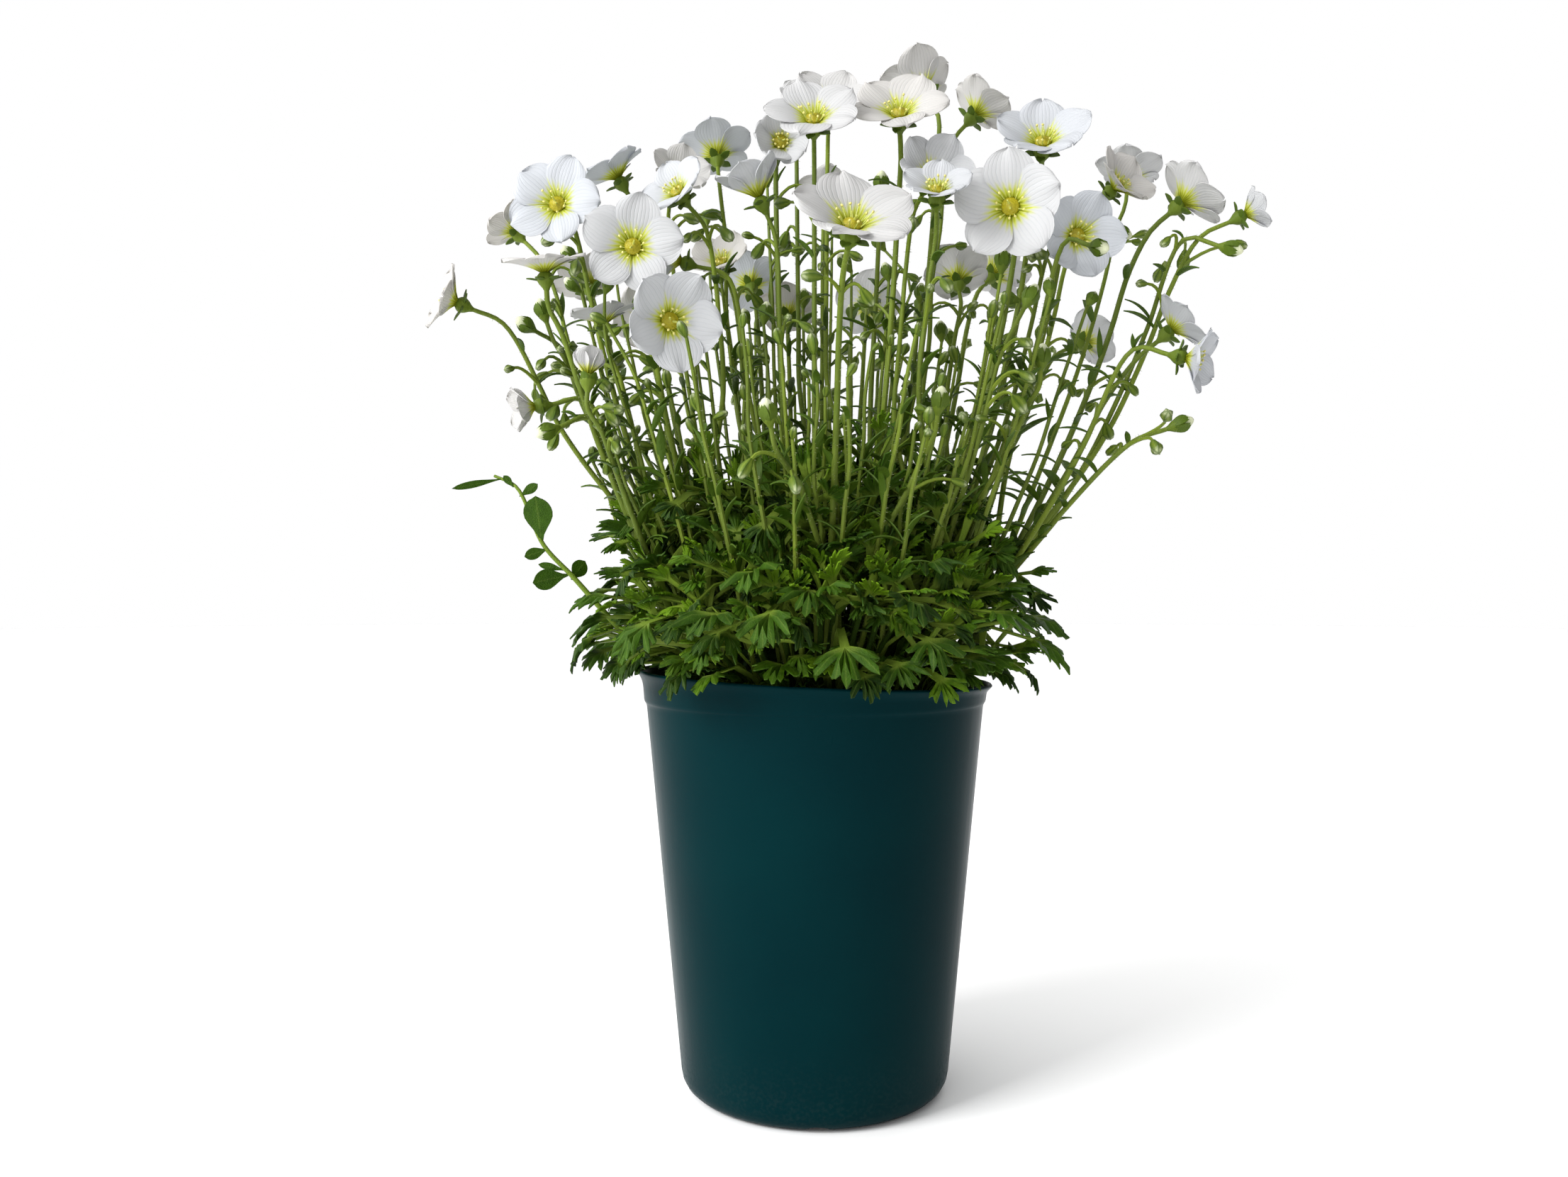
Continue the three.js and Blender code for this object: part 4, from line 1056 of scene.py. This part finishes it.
def stem_leaves(path, draw, count):
    """The narrow leaves of one stem: one by the same draws as the solid's, and so many more by
    chance. Those that would touch a flower are left out."""
    share = np.concatenate([[0.5 + 0.25 * draw[0]], chance.uniform(0.08, 0.92, count)])
    rise = np.concatenate([[25 + 30 * draw[2]], chance.uniform(30, 80, count)])
    leaves = {
        "root": path[(share * (len(path) - 1)).round().astype(int)],
        "azimuth": np.concatenate([[360 * draw[1]], chance.uniform(0, 360, count)]),
        "start": rise,
        "end": rise - chance.uniform(15, 70, count + 1),
        "length": np.concatenate([[10 + 6 * draw[3]],
                                  chance.uniform(9, 21, count) * (1.2 - 0.7 * share[1:])]),
        "half_width": chance.uniform(0.9, 1.8, count + 1) * (1.1 - 0.4 * share),
        "roll": chance.uniform(-0.4, 0.4, count + 1),
    }
    reach = leaf_lines(leaves, np.tile([0, 0.5, 1], (count + 1, 1)))[0]
    reach = np.concatenate(list(reach.transpose(1, 0, 2)))
    clear = clear_of_flowers(reach).reshape(3, -1).all(axis=0)
    return (*strap_leaves({name: value[clear] for name, value in leaves.items()}), (0.95, 0, 0))


# A small closed bud with five ridges, white at the tip between them
bud_turn = np.arange(10) * np.pi / 5
bud_size = np.array([0.9, 1.7, 2.3, 2.1, 1.3])[:, None] * (1 + 0.13 * np.cos(5 * bud_turn))
bud_height = np.array([-3.4, -1.6, 0.6, 2.6, 4.4])[:, None]
small_bud = closed_rings(round_rings(bud_size, bud_height, bud_turn), [0, 0, -4], [0, 0, 5.2])
bud_ridge = np.cos(5 * np.arctan2(small_bud[0][:, 1], small_bud[0][:, 0]))
bud_white = (0.3 - 0.2 * bud_ridge) * smooth((small_bud[0][:, 2] - 2.2) / 2.6)
bud_marks = np.stack([0.6 + 0.35 * bud_ridge, 0 * bud_ridge, bud_white], -1)


def bud_seat(end, aim, size):
    """Where a small bud of this size sits at the end of a stalk, so that its foot meets it."""
    return end + 3.6 * size * aim


def seated_bud(end, aim, size, spin):
    """A small bud along its aim at the end of a stalk."""
    turn = turned_up(aim) @ spun(spin) * size
    return (*placed(small_bud, [turn], [bud_seat(end, aim, size)]), bud_marks)


def side_buds(path, count, low, high):
    """Small buds on short curved stalks that leave a stem somewhere between two shares of it."""
    parts = []
    t = np.linspace(0, 1, 6)[:, None]
    for share in chance.uniform(low, high, count):
        i = int(share * (len(path) - 2))
        along = unit(path[i + 1] - path[i])
        ray = unit(np.cross(along, chance.normal(size=3)))
        length = chance.uniform(8, 17)
        out = unit(ray * [1, 1, 0.2])
        aim = unit(out - [0, 0, chance.uniform(-0.4, 1.4)])
        bend = length * (0.55 * along + 0.35 * out)
        stalk = path[i] + curve(0, bend, bend + 0.42 * length * aim, t)
        size = chance.uniform(0.55, 0.95)
        seat = bud_seat(stalk[-1], aim, size)
        if clear_of_flowers(np.stack([path[i] + bend, seat, seat + 5 * aim])).all():
            thin = tube(stalk, np.linspace(0.7, 0.5, 6), np.cross(along, ray), 5)
            parts.append((*thin, (0.15, 0, 0)))
            parts.append(seated_bud(stalk[-1], aim, size, chance.uniform(0, 72)))
    return parts


def spray_parts(number, first_fork, rows):
    """All the parts of one spray."""
    draw = seeded_draws(301 + number, 4 * len(rows)).reshape(-1, 4)
    own_heads = [head for head in heads if head["spray"] == number]
    parts, main_foot = [], None
    for order, head in enumerate(own_heads):
        route, main_foot = stem_route(head, order, first_fork, main_foot)
        path, length = smooth_route(route, STEM_STEPS)
        wide, narrow = SIDE_STEM_RADII if order else MAIN_STEM_RADII
        radii = wide + (narrow - wide) * np.linspace(0, 1, STEM_STEPS) ** 0.8
        square_to = unit(np.cross(UP, head["normal"]))
        parts += hairy_stem(path, radii, square_to, STEM_SIDES, int(HAIRS_PER_MM * length))
        parts += cup_and_sepals(head, 0 if head["half_width"] else chance.uniform(0, 72))
        parts.append(stem_leaves(path, draw[order], 6 if order else 9))
        parts += side_buds(path, 2 + order % 2, 0.62, 0.95)
    return parts


# The sunlit and the shaded stem colours are lit and shaded copies of the stem's green: painted light
# and painted shade
SUNLIT_STEM = rgb(118, 137, 36)
GREEN_STEM = rgb(87, 107, 22)
SHADED_STEM = rgb(58, 78, 18)
STREAK_GREEN = rgb(160, 172, 84)
DEEP_SEPAL = rgb(40, 66, 10)
SEPAL_GREEN = rgb(76, 102, 22)
BUD_WHITE = rgb(226, 230, 196)


def stem_finish():
    """Green stem and cup: the marks are 0 on a stem to 1 on a leaf, then how much painted shade the
    stem has, then 1 on the white of a bud. Stems are yellow-green with fine lengthwise streaks, in
    patches of a painted sunlit colour, and each is darkened by chance toward a painted shaded green.
    The leaves and sepals are a deep green."""
    material, tree, shader = new_finish("saxifrage stem", {"Specular IOR Level": 0.16})
    leafy, painted_shade, white = growth_marks(tree)
    streaks = grain(tree, 900, 3, (1, 1, 0.08))
    patches = grain(tree, 60, 3)
    # Painted sunlight: patches of the sunlit stem colour among plain green
    stem = mixed(tree, eased(tree, patches, 0.3, 0.7), SUNLIT_STEM, GREEN_STEM)
    # Painted shade: each stem is darkened by chance toward the shaded copy of its colour
    stem = mixed(tree, calc(tree, "MULTIPLY", painted_shade, 0.75), stem, SHADED_STEM)
    stem = mixed(tree, calc(tree, "MULTIPLY", streaks, 0.3), stem, STREAK_GREEN)
    leaf = mixed(tree, patches, DEEP_SEPAL, SEPAL_GREEN)
    colour = mixed(tree, leafy, stem, leaf)
    colour = mixed(tree, white, colour, BUD_WHITE)
    painted(tree, shader, colour, calc(tree, "MULTIPLY_ADD", streaks, 0.2, 0.4))
    raised(tree, shader, streaks, 0.0003)
    lit_through(tree, shader, colour, 0.15)
    return material


green_stem = stem_finish()
for number, (first_fork, rows) in enumerate(SPRAYS):
    spray = add_object(f"spray_{number + 1:02d}", spray_parts(number, first_fork, rows))
    finish_piece(spray, green_stem, f"flower_spray_{number + 1:02d}")

# The younger stems
# Thinner stems that have only budded yet stand among the sprays, on the same fan of lines from the
# crown, with more of the narrow leaves. The short ones end in a small green bud, and the tall ones
# in one that is about to open.

YOUNG_STEMS = 96
YOUNG_STEM_SIDES = 6
YOUNG_STEM_STEPS = 26
INNERMOST_FOOT = 7.0
FOOT_RING = 29.0
LOWEST_TOP = 212.0
MIDDLE_TOP = 286.0
TOP_RISE_TO_BACK = 40.0
BEND_FROM = 160.0
NEARLY_OPEN_FROM = 258.0

young_radii = np.linspace(0.95, 0.55, YOUNG_STEM_STEPS)
young_square_to = np.array([0.3, 1, 0])
young_stems = {"front": [], "back": []}
for i in range(YOUNG_STEMS):
    out = INNERMOST_FOOT + FOOT_RING * np.sqrt((i + 0.5) / YOUNG_STEMS)
    way = facing(90, i * GOLDEN_ANGLE + 75)[:2]
    # The front ones stay lower, so that they cross no flower that faces the front
    highest = MIDDLE_TOP + TOP_RISE_TO_BACK * way[1]
    z = np.linspace(FOOT_HEIGHT, chance.uniform(LOWEST_TOP, highest), 9)
    line = fan_points(way * out, z)
    bend = smooth((z - BEND_FROM) / BEND_RISE)[:, None]
    line = line * (1 - bend) + bent_clear(line, None) * bend
    line[1:] += np.cumsum(chance.normal(size=(8, 3)) * [0.7, 0.7, 0], axis=0)
    path, length = smooth_route(line, YOUNG_STEM_STEPS)
    parts = young_stems["front" if way[1] < 0 else "back"]
    parts += hairy_stem(path, young_radii, young_square_to, YOUNG_STEM_SIDES, int(length))
    parts.append(stem_leaves(path, chance.random(4), 9))
    end = path[-1]
    aim = unit(unit(end - path[-2]) + 0.35 * chance.normal(size=3))
    spin = chance.uniform(0, 72)
    if end[2] > NEARLY_OPEN_FROM:
        size = chance.uniform(0.7, 1.05)
        bud = {"half_width": 0, "scale": size, "turn": turned_up(aim),
               "seat": end + 3.8 * size * aim}
        parts += cup_and_sepals(bud, spin) + side_buds(path, 1, 0.8, 0.95)
    else:
        parts.append(seated_bud(end, aim, chance.uniform(0.4, 0.75), spin))

for half, parts in young_stems.items():
    finish_piece(add_object(f"young_stems_{half}", parts), green_stem)

# The petals
# Five broad white petals a flower, thin and lightly veined, each with one edge over its neighbour,
# and yellow-green at the foot. They grow from the rim of the green cup.

PETAL_THICKNESS = 0.24
PETAL_ROWS = 11
PETAL_COLUMNS = 11
PETAL_SHOULDER = 0.6
PETAL_CLAW = 0.14
PETAL_HALF_WIDTH = 0.385
PETAL_TILT = 0.075
NOTCH_DEPTH = 0.03
NOTCHED_FROM = 0.6
PETAL_GAP = 0.65


def petal_blades(head, draw):
    """The five petals of a flower about its own axis. A petal widens from a narrow claw to its
    shoulder in an even S, and past it closes as half an ellipse. It is laid along the petal's arc,
    hollowed along its middle, lightly pleated and rippled, and tilted so that one edge lies over
    the next petal."""
    t = 0.09 + 0.91 * np.sin(np.linspace(0, np.pi / 2, PETAL_ROWS))[:, None]
    u = np.linspace(1, -1, PETAL_COLUMNS)
    widening = PETAL_CLAW + 0.86 * smooth((t - 0.04) / (PETAL_SHOULDER - 0.04))
    past = np.maximum(0, t - PETAL_SHOULDER) / (1 - PETAL_SHOULDER)
    closing = np.sqrt(np.maximum(0.008, 1 - past**2))
    size = PETAL_STRETCH * head["half_width"]
    blades = []
    for i in range(PETAL_COUNT):
        drawn_length, drawn_curl = draw[2 * i], draw[2 * i + 1]
        drawn_width, drawn_notch = draw[(2 * i + 3) % 10], draw[(2 * i + 5) % 10]
        across = size * (PETAL_HALF_WIDTH + 0.08 * drawn_width) * u * widening * closing
        notch = NOTCH_DEPTH * (drawn_notch > NOTCHED_FROM) * np.exp(-(u / 0.3) ** 2) * t**8
        s = (0.95 + 0.08 * drawn_length) * (t - 0.03 * u**2 * t**3 - notch)
        out, up, lean = petal_arc(head, s)
        ripple = (0.55 * np.sin(4.2 * u + 9 * drawn_curl) * t**3
                  + 0.22 * np.cos(8 * u + 2 * drawn_length) * t)
        curl = 0.06 * head["half_width"] * (drawn_curl - 0.5)
        hollow = 0.022 * across**2 * (1.25 - 1.6 * t)
        lift = PETAL_TILT * across + hollow + curl * t**2 + ripple * size / 18
        level = facing(90, 72 * i)
        outward_part = (out - lift * np.cos(lean))[..., None]
        middle = (level * outward_part + (up + lift * np.sin(lean))[..., None] * UP
                  + np.cross(UP, level) * across[..., None])
        normal = -level * np.cos(lean)[..., None] + np.sin(lean)[..., None] * UP
        thick = PETAL_THICKNESS / 2 * normal
        blades.append(np.vstack([(middle + thick).reshape(-1, 3), (middle - thick).reshape(-1, 3)]))
    marks = np.stack([u + 0 * t, t + 0 * u, draw[0] + 0 * t * u], -1).reshape(-1, 3)
    shape = repeated(np.array(blades), grid_faces(PETAL_ROWS, PETAL_COLUMNS))
    return (*shape, np.tile(marks, (2 * PETAL_COUNT, 1)))


COOL_WHITE = rgb(204, 207, 212)
WARM_WHITE = rgb(210, 207, 203)
VEIN_GREY = rgb(186, 196, 206)
RAY_YELLOW = rgb(208, 214, 78)
PETAL_FOOT_GREEN = rgb(136, 144, 14)


def petal_finish():
    """White petal: the marks are across it, -1 to 1, along it, 0 to 1, and the flower's own tint.
    Yellow-green runs out from the foot in rays along the veins, and the veins are faintly sunk and
    grey. Light comes through."""
    shine = {"Roughness": 0.55, "Specular IOR Level": 0.12}
    material, tree, shader = new_finish("white petal", shine)
    across, along, tint = growth_marks(tree)
    waver = calc(tree, "MULTIPLY_ADD", grain(tree, 240, 2), 1.6, -0.8)
    rays = calc(tree, "COSINE", calc(tree, "MULTIPLY_ADD", across, 20.0, waver))
    waver = calc(tree, "MULTIPLY", waver, 2.0)
    veins = calc(tree, "COSINE", calc(tree, "MULTIPLY_ADD", across, 40.0, waver))
    veins = calc(tree, "POWER", calc(tree, "MULTIPLY_ADD", veins, 0.5, 0.5), 5.0)
    fading = eased(tree, along, 1.0, 0.3)
    paper = mixed(tree, tint, COOL_WHITE, WARM_WHITE)
    greyer = calc(tree, "MULTIPLY", calc(tree, "MULTIPLY", veins, fading), 0.2)
    paper = mixed(tree, greyer, paper, VEIN_GREY)
    reach = calc(tree, "MULTIPLY_ADD", rays, 0.045, 0.37)
    green = calc(tree, "SUBTRACT", reach, along)
    colour = mixed(tree, eased(tree, green, -0.1, 0.12), paper, RAY_YELLOW)
    colour = mixed(tree, eased(tree, green, 0.04, 0.26), colour, PETAL_FOOT_GREEN)
    painted(tree, shader, colour)
    raised(tree, shader, calc(tree, "MULTIPLY", veins, -1.0), 0.00006)
    lit_through(tree, shader, colour, 0.34)
    return material


white_petal = petal_finish()
for number, head in enumerate(flowers, start=1):
    draw = seeded_draws(100 + number, 11)
    points, faces, marks = petal_blades(head, draw)
    head["flower_turn"] = head["turn"] @ spun(360 * draw[10])
    head["flower_seat"] = head["seat"] + PETAL_GAP * head["normal"]
    points = points @ head["flower_turn"].T + head["flower_seat"]
    bloom = add_object(f"bloom_{number:02d}", [(points, faces, marks)])
    finish_piece(bloom, white_petal, f"petals_{number:02d}")

# The hearts of the flowers
# In the middle of each flower sit an olive ovary with two short styles and ten stamens, whose pale
# threads carry yellow anthers. They grow on the same cup as the petals.

OVARY_RADIUS = 2.7
STAMENS = 10
ANTHER_SIZE = 0.9
STYLE_LENGTH = 2.6
STYLE_WIDTH = 2.2
STYLE_LEAN = 22.0

thread = revolved([(0, -0.05), (0.2, 0), (0.17, 0.33), (0.14, 0.66), (0.12, 0.97), (0, 1)], 5)
anther = revolved([(0, -0.55), (0.32, -0.4), (0.44, 0), (0.32, 0.4), (0, 0.55)], 7)


def stood_along(along, across):
    """Matrices that turn +Z to the directions along, and +X square to both along and across."""
    side = unit(np.cross(along, across))
    return np.stack([side, np.cross(along, side), along], -1)


def heart_parts(head):
    """The ovary and styles, then the stamens. The ovary fills the cone that the feet of the petals
    make and is domed on top. Each thread is a straight slim cone from beside it out over the
    petals, with its anther across its end."""
    scale = np.sqrt(head["half_width"] / 16)
    angles = 36 * np.arange(STAMENS) + chance.uniform(-8, 8, STAMENS)
    out, up, _ = petal_arc(head, chance.uniform(0.30, 0.40, STAMENS))
    petal_out, petal_up, _ = petal_arc(head, np.linspace(0, 1, 60))
    wide = OVARY_RADIUS * scale
    low, brim = np.interp([0.5 * wide, wide], petal_out - 0.25, petal_up)
    dome = np.array([(1, 0.35), (0.9, 0.75), (0.66, 0.95), (0.55, 1.35), (0.3, 1.8), (0, 1.9)])
    dome = dome * [wide, scale] + [0, brim]
    ovary = revolved([(0, low - 0.3), (0.5 * wide, low), (wide, brim), *dome], 16)

    foot = facing(90, angles) * 0.92 * wide + [0, 0, brim + 0.3]
    tip = facing(90, angles) * out[:, None] * 0.82
    tip = tip + np.outer(up + chance.uniform(1.2, 2.6, STAMENS), UP)
    run = tip - foot
    lengths = np.linalg.norm(run, axis=1)
    stretch = np.stack([1 + 0 * lengths, 1 + 0 * lengths, lengths], -1)[:, None]
    turns = stood_along(unit(run), facing(90, angles + 90)) * stretch
    threads = placed(thread, turns, foot)
    anthers = placed(anther, any_turns(STAMENS, np.full((STAMENS, 3), ANTHER_SIZE)), tip)

    styles = facing(np.array([STYLE_LEAN, STYLE_LEAN]), np.array([20, 200]))
    turns = stood_along(styles, [0, 1, 0]) * [STYLE_WIDTH, STYLE_WIDTH, STYLE_LENGTH]
    feet = np.array([[0.35, 0.1, 0], [-0.35, -0.1, 0]]) + [0, 0, brim + 1.2 * scale]
    pistil = placed(thread, turns, feet)
    whole = [(*ovary, (0, 0, 0)), (*pistil, (0.35, 0, 0)),
             (*threads, (0.6, 0, 0)), (*anthers, (1, 0, 0))]
    return [(points @ head["flower_turn"].T + head["flower_seat"], faces, marks)
            for points, faces, marks in whole]


OLIVE = rgb(132, 124, 6)
NECTAR_YELLOW = rgb(176, 164, 26)
THREAD_GREEN = rgb(198, 206, 110)
ANTHER_YELLOW = rgb(214, 206, 120)


def heart_finish():
    """The mark is 0 on the ovary, olive and shiny with nectar, through the pale green threads to 1
    on the yellow anthers."""
    shine = {"Roughness": 0.42, "Specular IOR Level": 0.4}
    material, tree, shader = new_finish("flower heart", shine)
    kind, _, _ = growth_marks(tree)
    specks = grain(tree, 1600, 3)
    olive = mixed(tree, specks, OLIVE, NECTAR_YELLOW)
    colour = mixed(tree, eased(tree, kind, 0.1, 0.5), olive, THREAD_GREEN)
    colour = mixed(tree, eased(tree, kind, 0.7, 1.0), colour, ANTHER_YELLOW)
    painted(tree, shader, colour)
    raised(tree, shader, specks, 0.0003)
    return material


flower_heart = heart_finish()
for number in range(len(SPRAYS)):
    open_heads = [head for head in flowers if head["spray"] == number and head["open"] > JUST_OPEN]
    hearts = add_object(f"hearts_{number + 1:02d}",
                        [part for head in open_heads for part in heart_parts(head)])
    finish_piece(hearts, flower_heart)

# The side shoot
# A leafy shoot with no flower leans out at the left: a thin stem with smooth oval leaves and two
# narrow ones at its tip. It is rooted in the crown like the others.

SHOOT_POINTS = np.array([(-52, -9, 144), (-66, -14, 157), (-80, -17, 173), (-90, -18, 184),
                         (-99, -17, 203), (-107, -14, 207)], float)
# Each oval leaf: its foot, bearing, rise, length and half-width
SHOOT_LEAVES = np.array([
    (-82, -17, 174, 200, -12, 12, 3.6),
    (-90.5, -18, 185, 262, 68, 16, 4.8),
    (-88.5, -18, 182.5, 190, -18, 8, 2.0),
    (-83, -17, 175.5, 178, 14, 9, 1.3),
    (-81, -16, 172.5, 60, 42, 9, 2.8),
    (-98, -17, 200, 340, 30, 8, 1.6),
    (-100, -17, 203, 200, 50, 5, 1.2),
    (-104, -15, 206, 200, -12, 17, 1.2),
])
SHOOT_LEAF_SHOULDER = 0.62
SHOOT_LEAF_THICKNESS = 0.22


def oval_leaves(rows=12, columns=7):
    """Oval leaves, broadest past the middle, hollowed along the midrib and with their tips a little
    turned down. A leaf widens to its shoulder in an even S and closes past it as half an
    ellipse."""
    root, azimuth, rise = SHOOT_LEAVES[:, :3], SHOOT_LEAVES[:, 3], SHOOT_LEAVES[:, 4]
    length, half_width = SHOOT_LEAVES[:, 5, None, None], SHOOT_LEAVES[:, 6, None, None]
    along = facing(90 - rise, azimuth)
    side = unit(np.cross([0, 0.5, 0.2], along))
    out = np.cross(along, side)
    t = np.sin(np.linspace(0, np.pi / 2, rows))[:, None]
    u = np.linspace(1, -1, columns)
    widening = 0.1 + 0.9 * smooth(t / SHOOT_LEAF_SHOULDER)
    past = np.maximum(0, t - SHOOT_LEAF_SHOULDER) / (1 - SHOOT_LEAF_SHOULDER)
    across = half_width * u * widening * np.sqrt(np.maximum(0.01, 1 - past**2))
    run = length * (t - 0.04 * u**2 * t**2)
    lift = 0.06 * np.abs(across) - 0.05 * length * t**2
    along, side, out = (direction[:, None, None] for direction in (along, side, out))
    middle = root[:, None, None] + along * run[..., None] + side * across[..., None]
    sheets = [middle + out * (lift + i * SHOOT_LEAF_THICKNESS)[..., None] for i in (1, -1)]
    points = np.concatenate([sheet.reshape(len(root), -1, 3) for sheet in sheets], 1)
    vein = np.exp(-(u / 0.22) ** 2) + 0 * t
    marks = np.stack([0.5 + 0 * vein, vein, 0 * vein], -1).reshape(-1, 3)
    return (*repeated(points, grid_faces(rows, columns)), np.tile(marks, (2 * len(root), 1)))


shoot_path, _ = smooth_route(SHOOT_POINTS, STEM_STEPS)
shoot_stem = tube(shoot_path, np.linspace(1.15, 0.5, STEM_STEPS), np.array([0, 1, 0]), STEM_SIDES)
shoot = add_object("leafy_shoot", [(*shoot_stem, (0.3, 0, 1)), oval_leaves()])
finish_piece(shoot, green_leaf, "side_shoot")

# The studio
# A plain white floor in a white room that is brighter on the left, a large soft window at the upper
# left, a weaker panel behind, and the camera, level with the middle of the plant.

CAMERA_PLACE = (-10.5, -445.0, 169.5)
FOCAL_LENGTH = 29.685
SENSOR_WIDTH = 36.0
FLOOR_RADIUS = 6000.0
FLOOR_DEPTH = 20.0
PANEL_SIZE = 600.0
PANEL_AIM = np.array([0.0, 0.0, 180.0])
ROOM_FALLOFF = 0.86

floor_profile = [(0, -FLOOR_DEPTH), (FLOOR_RADIUS, -FLOOR_DEPTH), (FLOOR_RADIUS, 0), (0, 0)]
floor = add_object("floor", [(*revolved(floor_profile, 96), (0, 0, 0))])
dull = {"Base Color": rgb(255, 255, 255), "Roughness": 1.0, "Specular IOR Level": 0.0}
pale, _, _ = new_finish("pale floor", dull)
floor.data.materials.append(pale)

# The camera sees even white. On the plant, the room's light falls off evenly from left to right
world = bpy.data.worlds.new("pale room")
world.use_nodes = True
tree = world.node_tree
room = tree.nodes["Background"]
room.inputs["Color"].default_value = (1, 1, 1, 1)
way = add_node(tree, "TexCoord", {}).outputs["Generated"]
way_x = add_node(tree, "SeparateXYZ", {0: way}).outputs["X"]
seen = add_node(tree, "LightPath", {}).outputs["Is Camera Ray"]
falling = calc(tree, "MULTIPLY_ADD", way_x, -ROOM_FALLOFF, 1.0)
glow = add_node(tree, "Mix", {0: seen, 2: falling, 3: 1.0})
tree.links.new(glow.outputs[0], room.inputs["Strength"])
bpy.context.scene.world = world


def add_panel(name, place, power):
    """A square soft light at a place, in millimetres, that faces the middle of the plant."""
    light = bpy.data.lights.new(name, "AREA")
    light.shape = "RECTANGLE"
    light.size = light.size_y = PANEL_SIZE * MM
    light.energy = power
    panel = bpy.data.objects.new(name, light)
    back = unit(np.array(place, float) - PANEL_AIM)
    matrix = np.eye(4)
    matrix[:3, :3] = stood_along(back, -UP)
    matrix[:3, 3] = np.array(place) * MM
    panel.matrix_world = matrix.T.tolist()
    bpy.context.scene.collection.objects.link(panel)


add_panel("window", (-1000, -700, 850), 20)
add_panel("back panel", (500, 900, 700), 2)

lens = bpy.data.cameras.new("camera")
lens.sensor_width = SENSOR_WIDTH
lens.lens = FOCAL_LENGTH
lens.clip_start = 0.01
camera = bpy.data.objects.new("camera", lens)
camera.location = [v * MM for v in CAMERA_PLACE]
camera.rotation_euler = (np.pi / 2, 0, 0)
bpy.context.scene.collection.objects.link(camera)
bpy.context.scene.camera = camera
bpy.context.scene.view_settings.view_transform = "Standard"
